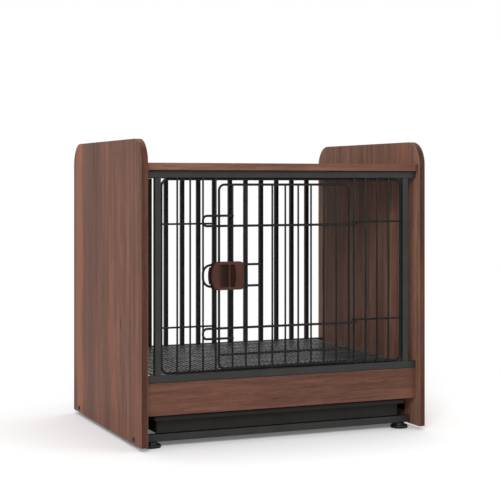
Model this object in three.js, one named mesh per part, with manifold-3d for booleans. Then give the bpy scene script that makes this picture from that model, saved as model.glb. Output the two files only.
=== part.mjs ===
// Dog crate end table: a wooden side table around a barred dog crate with a wire door and a pull-out tray.
// Millimetres, +Z up. The front faces -Y. Sizes and places are worked out from the middle of the wooden case,
// and the finished group is then moved so that its origin is on the floor under the middle of the whole
// outline, latch included.

import * as THREE from 'three';
import { mergeGeometries, mergeVertices } from 'three/addons/utils/BufferGeometryUtils.js';
import Module from 'manifold-3d';

const wasm = await Module();
wasm.setup();

// Clearances
const buttGap = 0.3; // between pieces that meet end to end or rest on each other
const boreClearance = 0.3; // added to a radius for the hole that takes it
const weldSink = 0.7; // how far crossing wires sink into each other where they are welded
const cutPast = 2; // how far a cutting tool reaches past the face it cuts through

// Boards
const overallWidth = 650; // over the outer faces of the side panels
const panelDepth = 506;
const panelHeight = 621;
const panelThickness = 15;
const panelCornerRadius = 50;
const panelLift = 8; // lower edge above the floor
const edgeBevel = 0.8;
const topThickness = 15;
const lipHeight = 49.2; // side panels above the tabletop
const topFrontSetback = 5;
const topRearSetback = 5;
const apronHeight = 66;
const apronThickness = 15;

// Steel frame
const tubeSize = 15;
const tubeWall = 1.2;
const endPlate = 3; // closes each end of a rail
const frontSetback = 14; // frame's front face behind the panels' front edges
const rearSetback = 10;
const midRailTop = 150; // above the floor
const baseRailLift = 3.5; // bottom rails above the panels' lower edge
const baseRailSetback = 40; // bottom rails behind the panels' edges, front and rear
const postSize = 13;
const postWall = 1;
const postSideGap = 19; // between a post and the panel beside it
const rearBarSize = 10;
const rearBarWall = 1;
const rearBarCount = 14;
const ventRadius = 2.5;
const ventInset = 30; // vent holes from a rail's ends
const bearerSize = 10;
const bearerWall = 1;
const bearerOffset = 190; // from the middle of the crate
const spigotRadius = 4; // pin on a rail's end, in the panel
const spigotLength = 9;
const dowelRadius = 4;
const dowelInPanel = 10;
const dowelInBoard = 20;
const dowelOffset = 165; // tabletop dowels from the middle, front and rear

// Bolts, screws and levelling feet
const boltRadius = 3;
const boltHeadRadius = 5;
const boltHeadHeight = 2.4;
const boltReach = 6; // past the rail's end plate
const headShoulder = 0.45; // share of a head's height where its round top begins
const headCrown = 0.7; // share of a head's radius at its flat top
const screwRadius = 1.75;
const screwHeadRadius = 3.5;
const screwHeadHeight = 1.6;
const screwDepth = 9; // in the panel
const screwInset = 60; // from each end of a runner
const footPadRadius = 19;
const footPadHeight = 7;
const footPadRound = 2.5;
const footCollarRadius = 11;
const footStemRadius = 4;
const footStemReach = 13; // into the rail
const footInset = 23; // from the panel's inner face
const footNutHeight = 5;

// Crate floor
const floorThickness = 3;
const floorDrop = 1; // floor's top below the mid rail's top
const floorSideGap = 20; // to each panel
const floorFrontGap = 2; // behind the front mid rail
const floorRearGap = 6;
const floorCornerRadius = 28;
const floorRim = 13; // plain border round the slots
const floorColumns = 12;
const floorRows = 13;
const slotShare = 0.66; // of the pitch that a slot takes, both ways

// Tray and its runners
const trayRimSetback = 24; // rim's front behind the panels' front edges
const trayFrontRim = 16; // width of the rim at the front
const traySideRim = 9.5;
const trayRearRim = 9.5;
const traySideGap = 20.5; // between the rim and each panel
const trayRimTop = 66; // above the floor
const trayLip = 9; // height of the rim's turned-down edge
const trayRearSetback = 37; // rim's rear in front of the panels' rear edges
const trayWall = 2;
const trayBottomGap = 2; // above the bottom rails
const trayCornerRadius = 4;
const trayRimRadius = 5;
const runnerThickness = 2;
const runnerHeight = 22;
const runnerFrontSetback = 62;
const runnerReach = 4; // runner's leg ends this far short of the tray's wall
const runnerStopGap = 0.5;

// Wires
const thinWire = 2; // radius of the upright wires
const thickWire = 2.5; // radius of the frame wires and of the door's cross wires
const uprightSetback = 16; // upright wires' middle behind the panels' front edges
const frameWireGap = 0.8; // between the upright wires and the frame wire behind them
const frameBendRadius = 15;
const doorwayWidth = 318; // between the middles of the two wires beside the door
const grilleEdgeGap = 32.2; // between a grille's last upright and the frame wire, middle to middle
const grilleCount = 4; // upright wires on each side of the door
const upperWireDrop = 93.7; // upper cross wires below the opening's top
const lowerWireRise = 94.9; // lower cross wires above the opening's bottom

// Door
const doorHingeGap = 12.6; // between the hinge wire and the door's side wire, middle to middle
const doorLatchGap = 6.9; // between the door's other side wire and the fixed wire beside it
const doorTopGap = 13.7; // door's top wire below the opening's top
const doorBottomGap = 6.7;
const doorBendRadius = 12;
const doorBays = 10;
const thirdWireRise = 35.7; // third cross wire above the opening's bottom
const hookClearance = 0.4; // between a hook and the wire it turns on
const hookWrap = THREE.MathUtils.degToRad(30); // turned past the wire's side
const hookBendRadius = 3.5;
const hookTail = 21;
const loopOverlap = 30; // stop loops and latch guide past the fixed wire beside the door
const loopRise = 21; // between a loop's two legs
const loopBendRadius = 9;

// Sliding latch
const guideDrop = 1.15; // middle of the guide's two legs below the opening's middle
const guideSpan = 44; // between the legs
const guideBendRadius = 17;
const guideBays = 3; // door bays that the guide's legs cross, from the latch side
const latchWidth = 72;
const latchHeight = 57.5;
const latchDepth = 20;
const latchOverlap = 18.5; // its left side past the fixed wire beside the door
const latchEdgeRound = 3;
const latchSideRound = 9;
const latchSideBulge = 2; // how far the left side's curve is drawn out
const latchCrown = 2; // how far the front bulges
const latchWireGap = 0.3; // behind the latch and round the guide's legs
const latchBendRelief = 1.2; // extra room on the inner side of each leg
const pocketWidth = 30;
const pocketHeight = 45;
const pocketDepth = 7;
const pocketShift = 4; // towards the hinge
const pocketRound = 5;
const finThickness = 7;
const finDrop = 0.5; // fin's crest below the front
const neckThickness = 6;
const tongueHeight = 24;
const tongueThickness = 3;
const tongueReach = 23; // tongue's tip past its neck
const tongueGap = 0.6; // behind the upright wires

// Roundness
const wireSides = 8;
const bendStep = THREE.MathUtils.degToRad(30);
const footSides = 20;
const smallSides = 10; // bolts, screws, dowels and their bores
const cornerSegments = 3; // half the steps in a quarter turn

// Places that follow from the sizes
const caseFront = -panelDepth / 2;
const caseRear = panelDepth / 2;
const innerHalf = overallWidth / 2 - panelThickness;
const panelTop = panelLift + panelHeight;
const topSurface = panelTop - lipHeight;
const topUnderside = topSurface - topThickness;
const topRailTop = topUnderside - buttGap;
const topRailBottom = topRailTop - tubeSize;
const midRailBottom = midRailTop - tubeSize;
const baseRailBottom = panelLift + baseRailLift;
const baseRailTop = baseRailBottom + tubeSize;
const frameFront = caseFront + frontSetback;
const frameRear = caseRear - rearSetback;
const frontRailY = frameFront + tubeSize / 2;
const rearRailY = frameRear - tubeSize / 2;
const baseFrontY = caseFront + baseRailSetback + tubeSize / 2;
const baseRearY = caseRear - baseRailSetback - tubeSize / 2;
const apronTop = midRailBottom - buttGap;
const apronY = frameFront + apronThickness / 2;
const apronZ = apronTop - apronHeight / 2;
const topRailZ = topRailTop - tubeSize / 2;
const midRailZ = midRailTop - tubeSize / 2;
const baseRailZ = baseRailTop - tubeSize / 2;
const topZ = topSurface - topThickness / 2;
const boardLength = 2 * (innerHalf - buttGap); // of every board and rail between the panels
const railBore = tubeSize - 2 * tubeWall;
const postX = innerHalf - postSideGap - postSize / 2;
const postInner = postX - postSize / 2;
const floorTop = midRailTop - floorDrop;
const floorUnderside = floorTop - floorThickness;
const bearerTop = floorUnderside - buttGap;
const footX = innerHalf - footInset;
const uprightY = caseFront + uprightSetback;
const uprightBottom = midRailTop + buttGap;
const uprightTop = topRailBottom - buttGap;
const frameWireY = uprightY + thinWire + frameWireGap + thickWire;
const frameWireX = postInner - buttGap - thickWire;
const hingeX = doorwayWidth / 2;
const grillePitch = (frameWireX - hingeX - grilleEdgeGap) / (grilleCount - 1);
const grilleUpper = uprightTop - upperWireDrop;
const grilleLower = uprightBottom + lowerWireRise;
const hookRadius = thinWire + hookClearance + thickWire;
const crossWireY = uprightY - hookRadius;
const doorUprightY = crossWireY + thickWire + thinWire - weldSink;
const doorFrameY = crossWireY + 2 * thickWire - weldSink;
const doorRight = hingeX - doorHingeGap;
const doorLeft = doorLatchGap - hingeX;
const doorPitch = (doorRight - doorLeft) / doorBays;
const doorTop = uprightTop - doorTopGap;
const doorBottom = uprightBottom + doorBottomGap;
const doorThirdWire = uprightBottom + thirdWireRise;
const loopLeft = -hingeX - loopOverlap;
const guideHeight = (uprightTop + uprightBottom) / 2 - guideDrop;
const hookDrop = thinWire + thickWire + hookClearance;
const upperCross = grilleUpper - hookDrop;
const lowerCross = grilleLower - hookDrop;

// Finishes
const walnut = { color: 0x6b4536, roughness: 0.55, metalness: 0 };
const blackSteel = { color: 0x2b2d2d, roughness: 0.5, metalness: 0.6 };
const blackWire = { color: 0x333637, roughness: 0.45, metalness: 0.6 };
const blackPlastic = { color: 0x1c1d1e, roughness: 0.6, metalness: 0 };
const brownPlastic = { color: 0x4a2b22, roughness: 0.35, metalness: 0 };
const zincSteel = { color: 0x8c8f91, roughness: 0.35, metalness: 0.9 };
const beech = { color: 0xb58e63, roughness: 0.7, metalness: 0 };

// Solids

function solidFrom(geometry) {
  const bare = geometry.clone();
  bare.deleteAttribute('normal');
  bare.deleteAttribute('uv');
  const welded = mergeVertices(bare);
  return new wasm.Manifold(
    new wasm.Mesh({
      numProp: 3,
      vertProperties: new Float32Array(welded.attributes.position.array),
      triVerts: new Uint32Array(welded.index.array),
    }),
  );
}

function geometryFrom(solid) {
  const { vertProperties, triVerts } = solid.getMesh();
  const geometry = new THREE.BufferGeometry();
  geometry.setAttribute('position', new THREE.BufferAttribute(new Float32Array(vertProperties), 3));
  geometry.setIndex(new THREE.BufferAttribute(new Uint32Array(triVerts), 1));
  geometry.computeVertexNormals();
  return geometry;
}

function join(...geometries) {
  const [first, ...rest] = geometries.map(solidFrom);
  return geometryFrom(rest.reduce((whole, piece) => whole.add(piece), first));
}

function meet(...geometries) {
  const [first, ...rest] = geometries.map(solidFrom);
  return geometryFrom(rest.reduce((whole, piece) => whole.intersect(piece), first));
}

function cut(geometry, ...tools) {
  return geometryFrom(tools.reduce((whole, tool) => whole.subtract(solidFrom(tool)), solidFrom(geometry)));
}

// A box given by its lowest and highest corners.
function boxBetween(low, high) {
  const geometry = new THREE.BoxGeometry(high[0] - low[0], high[1] - low[1], high[2] - low[2]);
  return geometry.translate((low[0] + high[0]) / 2, (low[1] + high[1]) / 2, (low[2] + high[2]) / 2);
}

function box(width, depth, height) {
  return new THREE.BoxGeometry(width, depth, height);
}

// A cylinder along X whose middle is at the given place.
function rodAlongX(radius, length, x, y, z) {
  const geometry = new THREE.CylinderGeometry(radius, radius, length, smallSides);
  return geometry.rotateZ(Math.PI / 2).translate(x, y, z);
}

// A cylinder along Z that starts at the given place and rises.
function rodUp(radius, length, x, y, z) {
  const geometry = new THREE.CylinderGeometry(radius, radius, length, smallSides);
  return geometry.rotateX(Math.PI / 2).translate(x, y, z + length / 2);
}

// A turned piece that stands on Z, from its [radius, height] profile.
function turned(profile, sides) {
  const points = profile.map(([radius, height]) => new THREE.Vector2(radius, height));
  return new THREE.LatheGeometry(points, sides).rotateX(Math.PI / 2);
}

function roundedRectangle(left, bottom, right, top, radius) {
  const shape = new THREE.Shape();
  shape.moveTo(left + radius, bottom);
  shape.lineTo(right - radius, bottom);
  shape.absarc(right - radius, bottom + radius, radius, -Math.PI / 2, 0);
  shape.lineTo(right, top - radius);
  shape.absarc(right - radius, top - radius, radius, 0, Math.PI / 2);
  shape.lineTo(left + radius, top);
  shape.absarc(left + radius, top - radius, radius, Math.PI / 2, Math.PI);
  shape.lineTo(left, bottom + radius);
  shape.absarc(left + radius, bottom + radius, radius, Math.PI, Math.PI * 1.5);
  return shape;
}

function plate(shape, thickness, base = 0) {
  const options = { depth: thickness, bevelEnabled: false, curveSegments: cornerSegments };
  return new THREE.ExtrudeGeometry(shape, options).translate(0, 0, base);
}

// A board cut from an outline, its edges eased by a small bevel, and centred in its thickness.
function board(shape, thickness) {
  const options = {
    depth: thickness - 2 * edgeBevel,
    bevelThickness: edgeBevel,
    bevelSize: edgeBevel,
    bevelOffset: -edgeBevel,
    bevelSegments: 1,
    curveSegments: cornerSegments,
  };
  return new THREE.ExtrudeGeometry(shape, options).translate(0, 0, edgeBevel - thickness / 2);
}

function rectangle(width, height) {
  const points = [
    [-width / 2, -height / 2],
    [width / 2, -height / 2],
    [width / 2, height / 2],
    [-width / 2, height / 2],
  ];
  return new THREE.Shape(points.map(([x, y]) => new THREE.Vector2(x, y)));
}

// Turns a shape drawn flat so that its x runs along Y, its y along Z and its thickness along X.
const standAcross = new THREE.Matrix4().makeBasis(
  new THREE.Vector3(0, 1, 0),
  new THREE.Vector3(0, 0, 1),
  new THREE.Vector3(1, 0, 0),
);

// Wires

// A wire's centre line through its own points, without resampling, so that straight runs stay plain.
class WireLine extends THREE.Curve {
  constructor(points) {
    super();
    this.points = points;
  }

  getSpacedPoints() {
    return this.points;
  }

  getTangentAt(share, target = new THREE.Vector3()) {
    const last = this.points.length - 1;
    const index = Math.round(share * last);
    const ahead = this.points[Math.min(index + 1, last)].clone().sub(this.points[index]).normalize();
    const behind = this.points[index].clone().sub(this.points[Math.max(index - 1, 0)]).normalize();
    return target.addVectors(ahead, behind).normalize();
  }
}

// Points on the arc that rounds a corner of a wire.
function bendPoints(before, corner, after, radius) {
  const back = before.clone().sub(corner).normalize();
  const on = after.clone().sub(corner).normalize();
  const halfAngle = back.angleTo(on) / 2;
  const centre = back.clone().add(on).setLength(radius / Math.sin(halfAngle)).add(corner);
  const start = back.multiplyScalar(radius / Math.tan(halfAngle)).add(corner).sub(centre);
  const end = on.multiplyScalar(radius / Math.tan(halfAngle)).add(corner).sub(centre);
  const turn = start.angleTo(end);
  const steps = Math.ceil(turn / bendStep);
  const points = [];
  for (let step = 0; step <= steps; step += 1) {
    const angle = (turn * step) / steps;
    const point = start.clone().multiplyScalar(Math.sin(turn - angle) / Math.sin(turn));
    points.push(point.addScaledVector(end, Math.sin(angle) / Math.sin(turn)).add(centre));
  }
  return points;
}

// A round wire through [x, y, z, bend radius] corners. The two ends have no bend.
function wire(radius, ...corners) {
  const places = corners.map(([x, y, z]) => new THREE.Vector3(x, y, z));
  const points = [places[0]];
  for (let index = 1; index < places.length - 1; index += 1) {
    points.push(...bendPoints(places[index - 1], places[index], places[index + 1], corners[index][3]));
  }
  points.push(places[places.length - 1]);
  const section = new THREE.Shape();
  for (let side = 0; side < wireSides; side += 1) {
    const angle = ((side + 0.5) * 2 * Math.PI) / wireSides;
    const place = [radius * Math.cos(angle), radius * Math.sin(angle)];
    if (side === 0) section.moveTo(...place);
    else section.lineTo(...place);
  }
  section.closePath();
  return new THREE.ExtrudeGeometry(section, { steps: points.length - 1, extrudePath: new WireLine(points) });
}

// A rectangular wire frame with round corners: one bent wire whose ends meet in the bottom run.
function wireFrame(radius, left, right, y, bottom, top, bendRadius) {
  const seam = (left + right) / 2;
  return wire(
    radius,
    [seam + buttGap / 2, y, bottom],
    [right, y, bottom, bendRadius],
    [right, y, top, bendRadius],
    [left, y, top, bendRadius],
    [left, y, bottom, bendRadius],
    [seam - buttGap / 2, y, bottom],
  );
}

// Building the scene

const crate = new THREE.Group();

function add(name, geometry, finish, x = 0, y = 0, z = 0) {
  const mesh = new THREE.Mesh(geometry, new THREE.MeshStandardMaterial(finish));
  mesh.name = name;
  mesh.position.set(x, y, z);
  crate.add(mesh);
  return mesh;
}

const sides = [
  { word: 'left', sign: -1 },
  { word: 'right', sign: 1 },
];

// Screw places along a tray runner, which follow the runner's own length.
const runnerFront = caseFront + runnerFrontSetback;
const runnerRear = caseRear - trayRearSetback + runnerStopGap + runnerThickness;
const runnerScrewYs = [runnerFront + screwInset, runnerRear - screwInset];
const runnerTop = trayRimTop - trayLip - buttGap;
const runnerScrewZ = runnerTop - runnerHeight / 2;

// Boards

function sidePanelOutline() {
  const front = caseFront;
  const rear = caseRear;
  const shape = new THREE.Shape();
  shape.moveTo(front, panelLift);
  shape.lineTo(rear, panelLift);
  shape.lineTo(rear, panelTop - panelCornerRadius);
  shape.absarc(rear - panelCornerRadius, panelTop - panelCornerRadius, panelCornerRadius, 0, Math.PI / 2);
  shape.lineTo(front + panelCornerRadius, panelTop);
  shape.absarc(
    front + panelCornerRadius,
    panelTop - panelCornerRadius,
    panelCornerRadius,
    Math.PI / 2,
    Math.PI,
  );
  return shape;
}

// A blind bore in a panel's inner face. Its depth leaves room for the end of the pin.
function panelBore(sign, radius, pinLength, y, z) {
  const depth = pinLength + boreClearance;
  const mouth = sign * (-panelThickness / 2 - buttGap);
  const middle = mouth + (sign * (depth + buttGap)) / 2;
  return rodAlongX(radius + boreClearance, depth + buttGap, middle, y, z);
}

function sidePanel(sign) {
  const panel = board(sidePanelOutline(), panelThickness).applyMatrix4(standAcross);
  const bores = [
    panelBore(sign, spigotRadius, spigotLength, frontRailY, topRailZ),
    panelBore(sign, spigotRadius, spigotLength, rearRailY, topRailZ),
    panelBore(sign, spigotRadius, spigotLength, frontRailY, midRailZ),
    panelBore(sign, spigotRadius, spigotLength, rearRailY, midRailZ),
    panelBore(sign, dowelRadius, dowelInPanel, -dowelOffset, topZ),
    panelBore(sign, dowelRadius, dowelInPanel, dowelOffset, topZ),
    panelBore(sign, dowelRadius, dowelInPanel, apronY, apronZ),
  ];
  for (const y of runnerScrewYs) bores.push(panelBore(sign, screwRadius, screwDepth, y, runnerScrewZ));
  const boltBore = panelThickness + 2 * cutPast;
  for (const y of [baseFrontY, baseRearY]) {
    bores.push(rodAlongX(boltRadius + boreClearance, boltBore, 0, y, baseRailZ));
  }
  return cut(panel, ...bores);
}

for (const { word, sign } of sides) {
  const x = sign * (innerHalf + panelThickness / 2);
  add(`side_panel_${word}`, sidePanel(sign), walnut, x);
}

// A board between the panels, with a bore in each end for every dowel.
function crossBoard(shape, thickness, turn, dowelPlaces) {
  const depth = dowelInBoard + boreClearance;
  const bores = [];
  for (const { sign } of sides) {
    for (const [y, z] of dowelPlaces) {
      bores.push(rodAlongX(dowelRadius + boreClearance, 2 * depth, (sign * boardLength) / 2, y, z));
    }
  }
  return cut(turn(board(shape, thickness)), ...bores);
}

const topDepth = panelDepth - topFrontSetback - topRearSetback;
const topY = (topFrontSetback - topRearSetback) / 2;
const topDowels = [
  [-dowelOffset - topY, 0],
  [dowelOffset - topY, 0],
];
const tableTop = crossBoard(rectangle(boardLength, topDepth), topThickness, (flat) => flat, topDowels);
add('table_top', tableTop, walnut, 0, topY, topZ);

const apronShape = rectangle(boardLength, apronHeight);
const apron = crossBoard(apronShape, apronThickness, (flat) => flat.rotateX(Math.PI / 2), [[0, 0]]);
add('front_apron', apron, walnut, 0, apronY, apronZ);

// Dowels lie half in a board's end and half in the panel.
function dowel() {
  return rodAlongX(dowelRadius, dowelInPanel + dowelInBoard, 0, 0, 0);
}

for (const { word, sign } of sides) {
  const x = sign * (innerHalf + (dowelInPanel - dowelInBoard) / 2);
  add(`top_dowel_front_${word}`, dowel(), beech, x, -dowelOffset, topZ);
  add(`top_dowel_rear_${word}`, dowel(), beech, x, dowelOffset, topZ);
  add(`apron_dowel_${word}`, dowel(), beech, x, apronY, apronZ);
}

// Steel frame

function closedRail() {
  return cut(box(boardLength, tubeSize, tubeSize), box(boardLength - 2 * endPlate, railBore, railBore));
}

// A square tube open at both ends, along Z and centred.
function openTube(size, wall, length) {
  const bore = size - 2 * wall;
  return cut(box(size, size, length), box(bore, bore, length + 2 * cutPast));
}

// A top or mid rail, with a pin on each end plate that seats in the panel. The vent holes in one wall
// let the coating drain.
function pinnedRail(ventSide) {
  const pins = sides.map(({ sign }) => {
    const middle = sign * (boardLength / 2 + (spigotLength - endPlate) / 2);
    return rodAlongX(spigotRadius, spigotLength + endPlate, middle, 0, 0);
  });
  const vents = sides.map(({ sign }) => {
    const x = sign * (boardLength / 2 - ventInset);
    return rodUp(ventRadius, 2 * tubeWall, x, 0, (ventSide * tubeSize) / 2 - tubeWall);
  });
  return cut(join(closedRail(), ...pins), ...vents);
}

// A bottom rail: its end plates take the panel bolts, and a nut inside takes each foot's stem.
function bottomRail() {
  const inWall = tubeSize / 2 - tubeWall / 2;
  const nutTop = -railBore / 2 + footNutHeight;
  const stemHole = tubeWall + footNutHeight + 2 * cutPast;
  const nuts = sides.map(({ sign }) => {
    const x = sign * footX;
    return boxBetween([x - inWall, -inWall, -inWall], [x + inWall, inWall, nutTop]);
  });
  const holes = sides.flatMap(({ sign }) => [
    rodAlongX(boltRadius + boreClearance, 2 * (endPlate + cutPast), (sign * boardLength) / 2, 0, 0),
    rodUp(footStemRadius + boreClearance, stemHole, sign * footX, 0, -tubeSize / 2 - cutPast),
  ]);
  return cut(join(closedRail(), ...nuts), ...holes);
}

add('front_top_rail', pinnedRail(1), blackSteel, 0, frontRailY, topRailZ);
add('rear_top_rail', pinnedRail(1), blackSteel, 0, rearRailY, topRailZ);
add('front_mid_rail', pinnedRail(-1), blackSteel, 0, frontRailY, midRailZ);
add('rear_mid_rail', pinnedRail(-1), blackSteel, 0, rearRailY, midRailZ);
add('front_bottom_rail', bottomRail(), blackSteel, 0, baseFrontY, baseRailZ);
add('rear_bottom_rail', bottomRail(), blackSteel, 0, baseRearY, baseRailZ);

const uprightLength = uprightTop - uprightBottom;
const uprightZ = (uprightTop + uprightBottom) / 2;

for (const { word, sign } of sides) {
  const post = openTube(postSize, postWall, uprightLength);
  add(`front_post_${word}`, post, blackSteel, sign * postX, frameFront + postSize / 2, uprightZ);
}

const rearBarPitch = (2 * innerHalf) / (rearBarCount + 1);
for (let index = 1; index <= rearBarCount; index += 1) {
  const bar = openTube(rearBarSize, rearBarWall, uprightLength);
  const name = `rear_bar_${String(index).padStart(2, '0')}`;
  add(name, bar, blackSteel, index * rearBarPitch - innerHalf, rearRailY, uprightZ);
}

const bearerLength = rearRailY - frontRailY - tubeSize - 2 * buttGap;
for (const { word, sign } of sides) {
  const bearer = openTube(bearerSize, bearerWall, bearerLength).rotateX(Math.PI / 2);
  const y = (frontRailY + rearRailY) / 2;
  add(`floor_bearer_${word}`, bearer, blackSteel, sign * bearerOffset, y, bearerTop - bearerSize / 2);
}

// Bolts, screws and feet

// A round-headed fastener along Z. Its head sits on height 0 and its shank hangs below.
function fastener(shankRadius, shankLength, headRadius, headHeight) {
  const profile = [
    [0, -shankLength],
    [shankRadius, -shankLength],
    [shankRadius, 0],
    [headRadius, 0],
    [headRadius, headHeight * headShoulder],
    [headRadius * headCrown, headHeight],
    [0, headHeight],
  ];
  return turned(profile, smallSides);
}

function panelBolt(sign) {
  const shank = panelThickness + 2 * buttGap + endPlate + boltReach;
  return fastener(boltRadius, shank, boltHeadRadius, boltHeadHeight).rotateY((sign * Math.PI) / 2);
}

function runnerScrew(sign) {
  const shank = screwDepth + runnerThickness + 2 * buttGap;
  return fastener(screwRadius, shank, screwHeadRadius, screwHeadHeight).rotateY((-sign * Math.PI) / 2);
}

function levellingFoot() {
  const collarTop = baseRailBottom - buttGap;
  const padEdge = footPadRadius - footPadRound;
  const profile = [
    [0, 0],
    [padEdge, 0],
    [footPadRadius, footPadRound],
    [footPadRadius, footPadHeight - footPadRound],
    [padEdge, footPadHeight],
    [footCollarRadius, footPadHeight],
    [footCollarRadius, collarTop],
    [footStemRadius, collarTop],
    [footStemRadius, baseRailBottom + footStemReach],
    [0, baseRailBottom + footStemReach],
  ];
  return turned(profile, footSides);
}

const ends = [
  { place: 'front', y: baseFrontY, screwY: runnerScrewYs[0] },
  { place: 'rear', y: baseRearY, screwY: runnerScrewYs[1] },
];

for (const { word, sign } of sides) {
  const boltX = sign * (innerHalf + panelThickness + buttGap);
  const screwX = sign * (innerHalf - runnerThickness - 2 * buttGap);
  for (const { place, y, screwY } of ends) {
    add(`panel_bolt_${place}_${word}`, panelBolt(sign), blackSteel, boltX, y, baseRailZ);
    add(`foot_${place}_${word}`, levellingFoot(), blackPlastic, sign * footX, y);
    add(`runner_screw_${place}_${word}`, runnerScrew(sign), zincSteel, screwX, screwY, runnerScrewZ);
  }
}

// Crate floor

// A plate with round corners and rows of slots, every other row shifted by half a slot's pitch.
function slottedFloor() {
  const halfWidth = innerHalf - floorSideGap;
  const front = frontRailY + tubeSize / 2 + floorFrontGap;
  const rear = rearRailY - tubeSize / 2 - floorRearGap;
  const shape = roundedRectangle(-halfWidth, front, halfWidth, rear, floorCornerRadius);
  const columnPitch = (2 * (halfWidth - floorRim)) / floorColumns;
  const rowPitch = (rear - front - 2 * floorRim) / floorRows;
  const slots = [];
  for (let row = 0; row < floorRows; row += 1) {
    const shifted = row % 2;
    const y = front + floorRim + (row + 0.5) * rowPitch;
    for (let column = 0; column < floorColumns - shifted; column += 1) {
      const x = floorRim - halfWidth + (column + 0.5 + shifted / 2) * columnPitch;
      const slot = box(columnPitch * slotShare, rowPitch * slotShare, floorThickness + 2 * cutPast);
      slots.push(slot.translate(x, y, floorThickness / 2));
    }
  }
  return cut(plate(shape, floorThickness), mergeGeometries(slots));
}

add('floor_grid', slottedFloor(), blackPlastic, 0, 0, floorUnderside);

// Tray and runners

// The tray's own frame: y = 0 at the rim's front, heights above the floor.
const trayLength = panelDepth - trayRimSetback - trayRearSetback;
const trayRimHalf = innerHalf - traySideGap;
const trayWallHalf = trayRimHalf - traySideRim;
const trayBase = baseRailTop + trayBottomGap;

function trayOutline(inset, radius) {
  return roundedRectangle(-trayRimHalf + inset, inset, trayRimHalf - inset, trayLength - inset, radius);
}

function trayWallOutline(inset, radius) {
  const front = trayFrontRim + inset;
  const rear = trayLength - trayRearRim - inset;
  return roundedRectangle(-trayWallHalf + inset, front, trayWallHalf - inset, rear, radius);
}

function tray() {
  const lipShape = trayOutline(0, trayRimRadius);
  lipShape.holes.push(trayOutline(trayWall, trayRimRadius - trayWall));
  const lip = plate(lipShape, trayLip, trayRimTop - trayLip);
  const rim = plate(trayOutline(0, trayRimRadius), trayWall, trayRimTop - trayWall);
  const body = plate(trayWallOutline(0, trayCornerRadius), trayRimTop - trayBase, trayBase);
  const inside = trayWallOutline(trayWall, trayCornerRadius - trayWall);
  const cavity = plate(inside, trayRimTop, trayBase + trayWall);
  return cut(join(body, rim, lip), cavity);
}

add('tray', tray(), blackPlastic, 0, caseFront + trayRimSetback);

// A steel angle on the panel. The tray's lip slides on its leg, and a tab at the rear stops the tray.
function trayRunner(sign) {
  const outer = innerHalf - buttGap;
  const inner = trayWallHalf + runnerReach;
  const webInner = outer - runnerThickness;
  const legBase = runnerTop - runnerThickness;
  const spans = [
    { from: [webInner, runnerFront, runnerTop - runnerHeight], to: [outer, runnerRear, runnerTop] },
    { from: [inner, runnerFront, legBase], to: [outer, runnerRear, runnerTop] },
    { from: [inner, runnerRear - runnerThickness, legBase], to: [outer, runnerRear, trayRimTop] },
  ];
  const parts = spans.map(({ from, to }) => {
    const xs = [sign * from[0], sign * to[0]].sort((first, second) => first - second);
    return boxBetween([xs[0], from[1], from[2]], [xs[1], to[1], to[2]]);
  });
  const holes = runnerScrewYs.map((y) => {
    const length = 2 * (runnerThickness + cutPast);
    return rodAlongX(screwRadius + boreClearance, length, sign * webInner, y, runnerScrewZ);
  });
  return cut(join(...parts), ...holes);
}

for (const { word, sign } of sides) add(`tray_runner_${word}`, trayRunner(sign), blackSteel);

// Fixed wire front

const frameWire = wireFrame(
  thickWire,
  -frameWireX,
  frameWireX,
  frameWireY,
  uprightBottom + thickWire,
  uprightTop - thickWire,
  frameBendRadius,
);
add('front_wire_frame', frameWire, blackWire);

// The fixed wires beside the door. The hinge hooks turn on the innermost one on the right.
function frontGrille(sign) {
  const wires = [];
  for (let index = 0; index < grilleCount; index += 1) {
    const x = sign * (hingeX + index * grillePitch);
    wires.push(wire(thinWire, [x, uprightY, uprightBottom], [x, uprightY, uprightTop]));
  }
  const y = uprightY + 2 * thinWire - weldSink;
  const innerEnd = sign * (hingeX - thinWire);
  const outerEnd = sign * (frameWireX - thickWire - buttGap);
  for (const z of [grilleUpper, grilleLower]) {
    wires.push(wire(thinWire, [innerEnd, y, z], [outerEnd, y, z]));
  }
  return join(...wires);
}

for (const { word, sign } of sides) add(`front_grille_${word}`, frontGrille(sign), blackWire);

// Door

// A cross wire that is one bent piece: a stop loop that rests on the fixed wires, a straight run across
// the door, and a hook round the hinge wire with its tail turned down.
function loopAndHook(z, loopSide) {
  const loopZ = z + loopSide * loopRise;
  const wrap = { cos: Math.cos(hookWrap), sin: Math.sin(hookWrap) };
  const hookCorner = hingeX + hookRadius * Math.tan((Math.PI / 2 + hookWrap) / 2);
  const tailX = hingeX + hookRadius * wrap.cos - hookBendRadius * wrap.sin;
  const tailY = uprightY + hookRadius * wrap.sin + hookBendRadius * wrap.cos;
  return wire(
    thickWire,
    [doorLeft + doorPitch, crossWireY, loopZ],
    [loopLeft, crossWireY, loopZ, loopBendRadius],
    [loopLeft, crossWireY, z, loopBendRadius],
    [hookCorner, crossWireY, z, hookRadius],
    [tailX, tailY, z, hookBendRadius],
    [tailX, tailY, z - hookTail],
  );
}

function latchGuide() {
  const end = doorLeft + guideBays * doorPitch;
  const upper = guideHeight + guideSpan / 2;
  const lower = guideHeight - guideSpan / 2;
  return wire(
    thickWire,
    [end, crossWireY, upper],
    [loopLeft, crossWireY, upper, guideBendRadius],
    [loopLeft, crossWireY, lower, guideBendRadius],
    [end, crossWireY, lower],
  );
}

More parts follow.
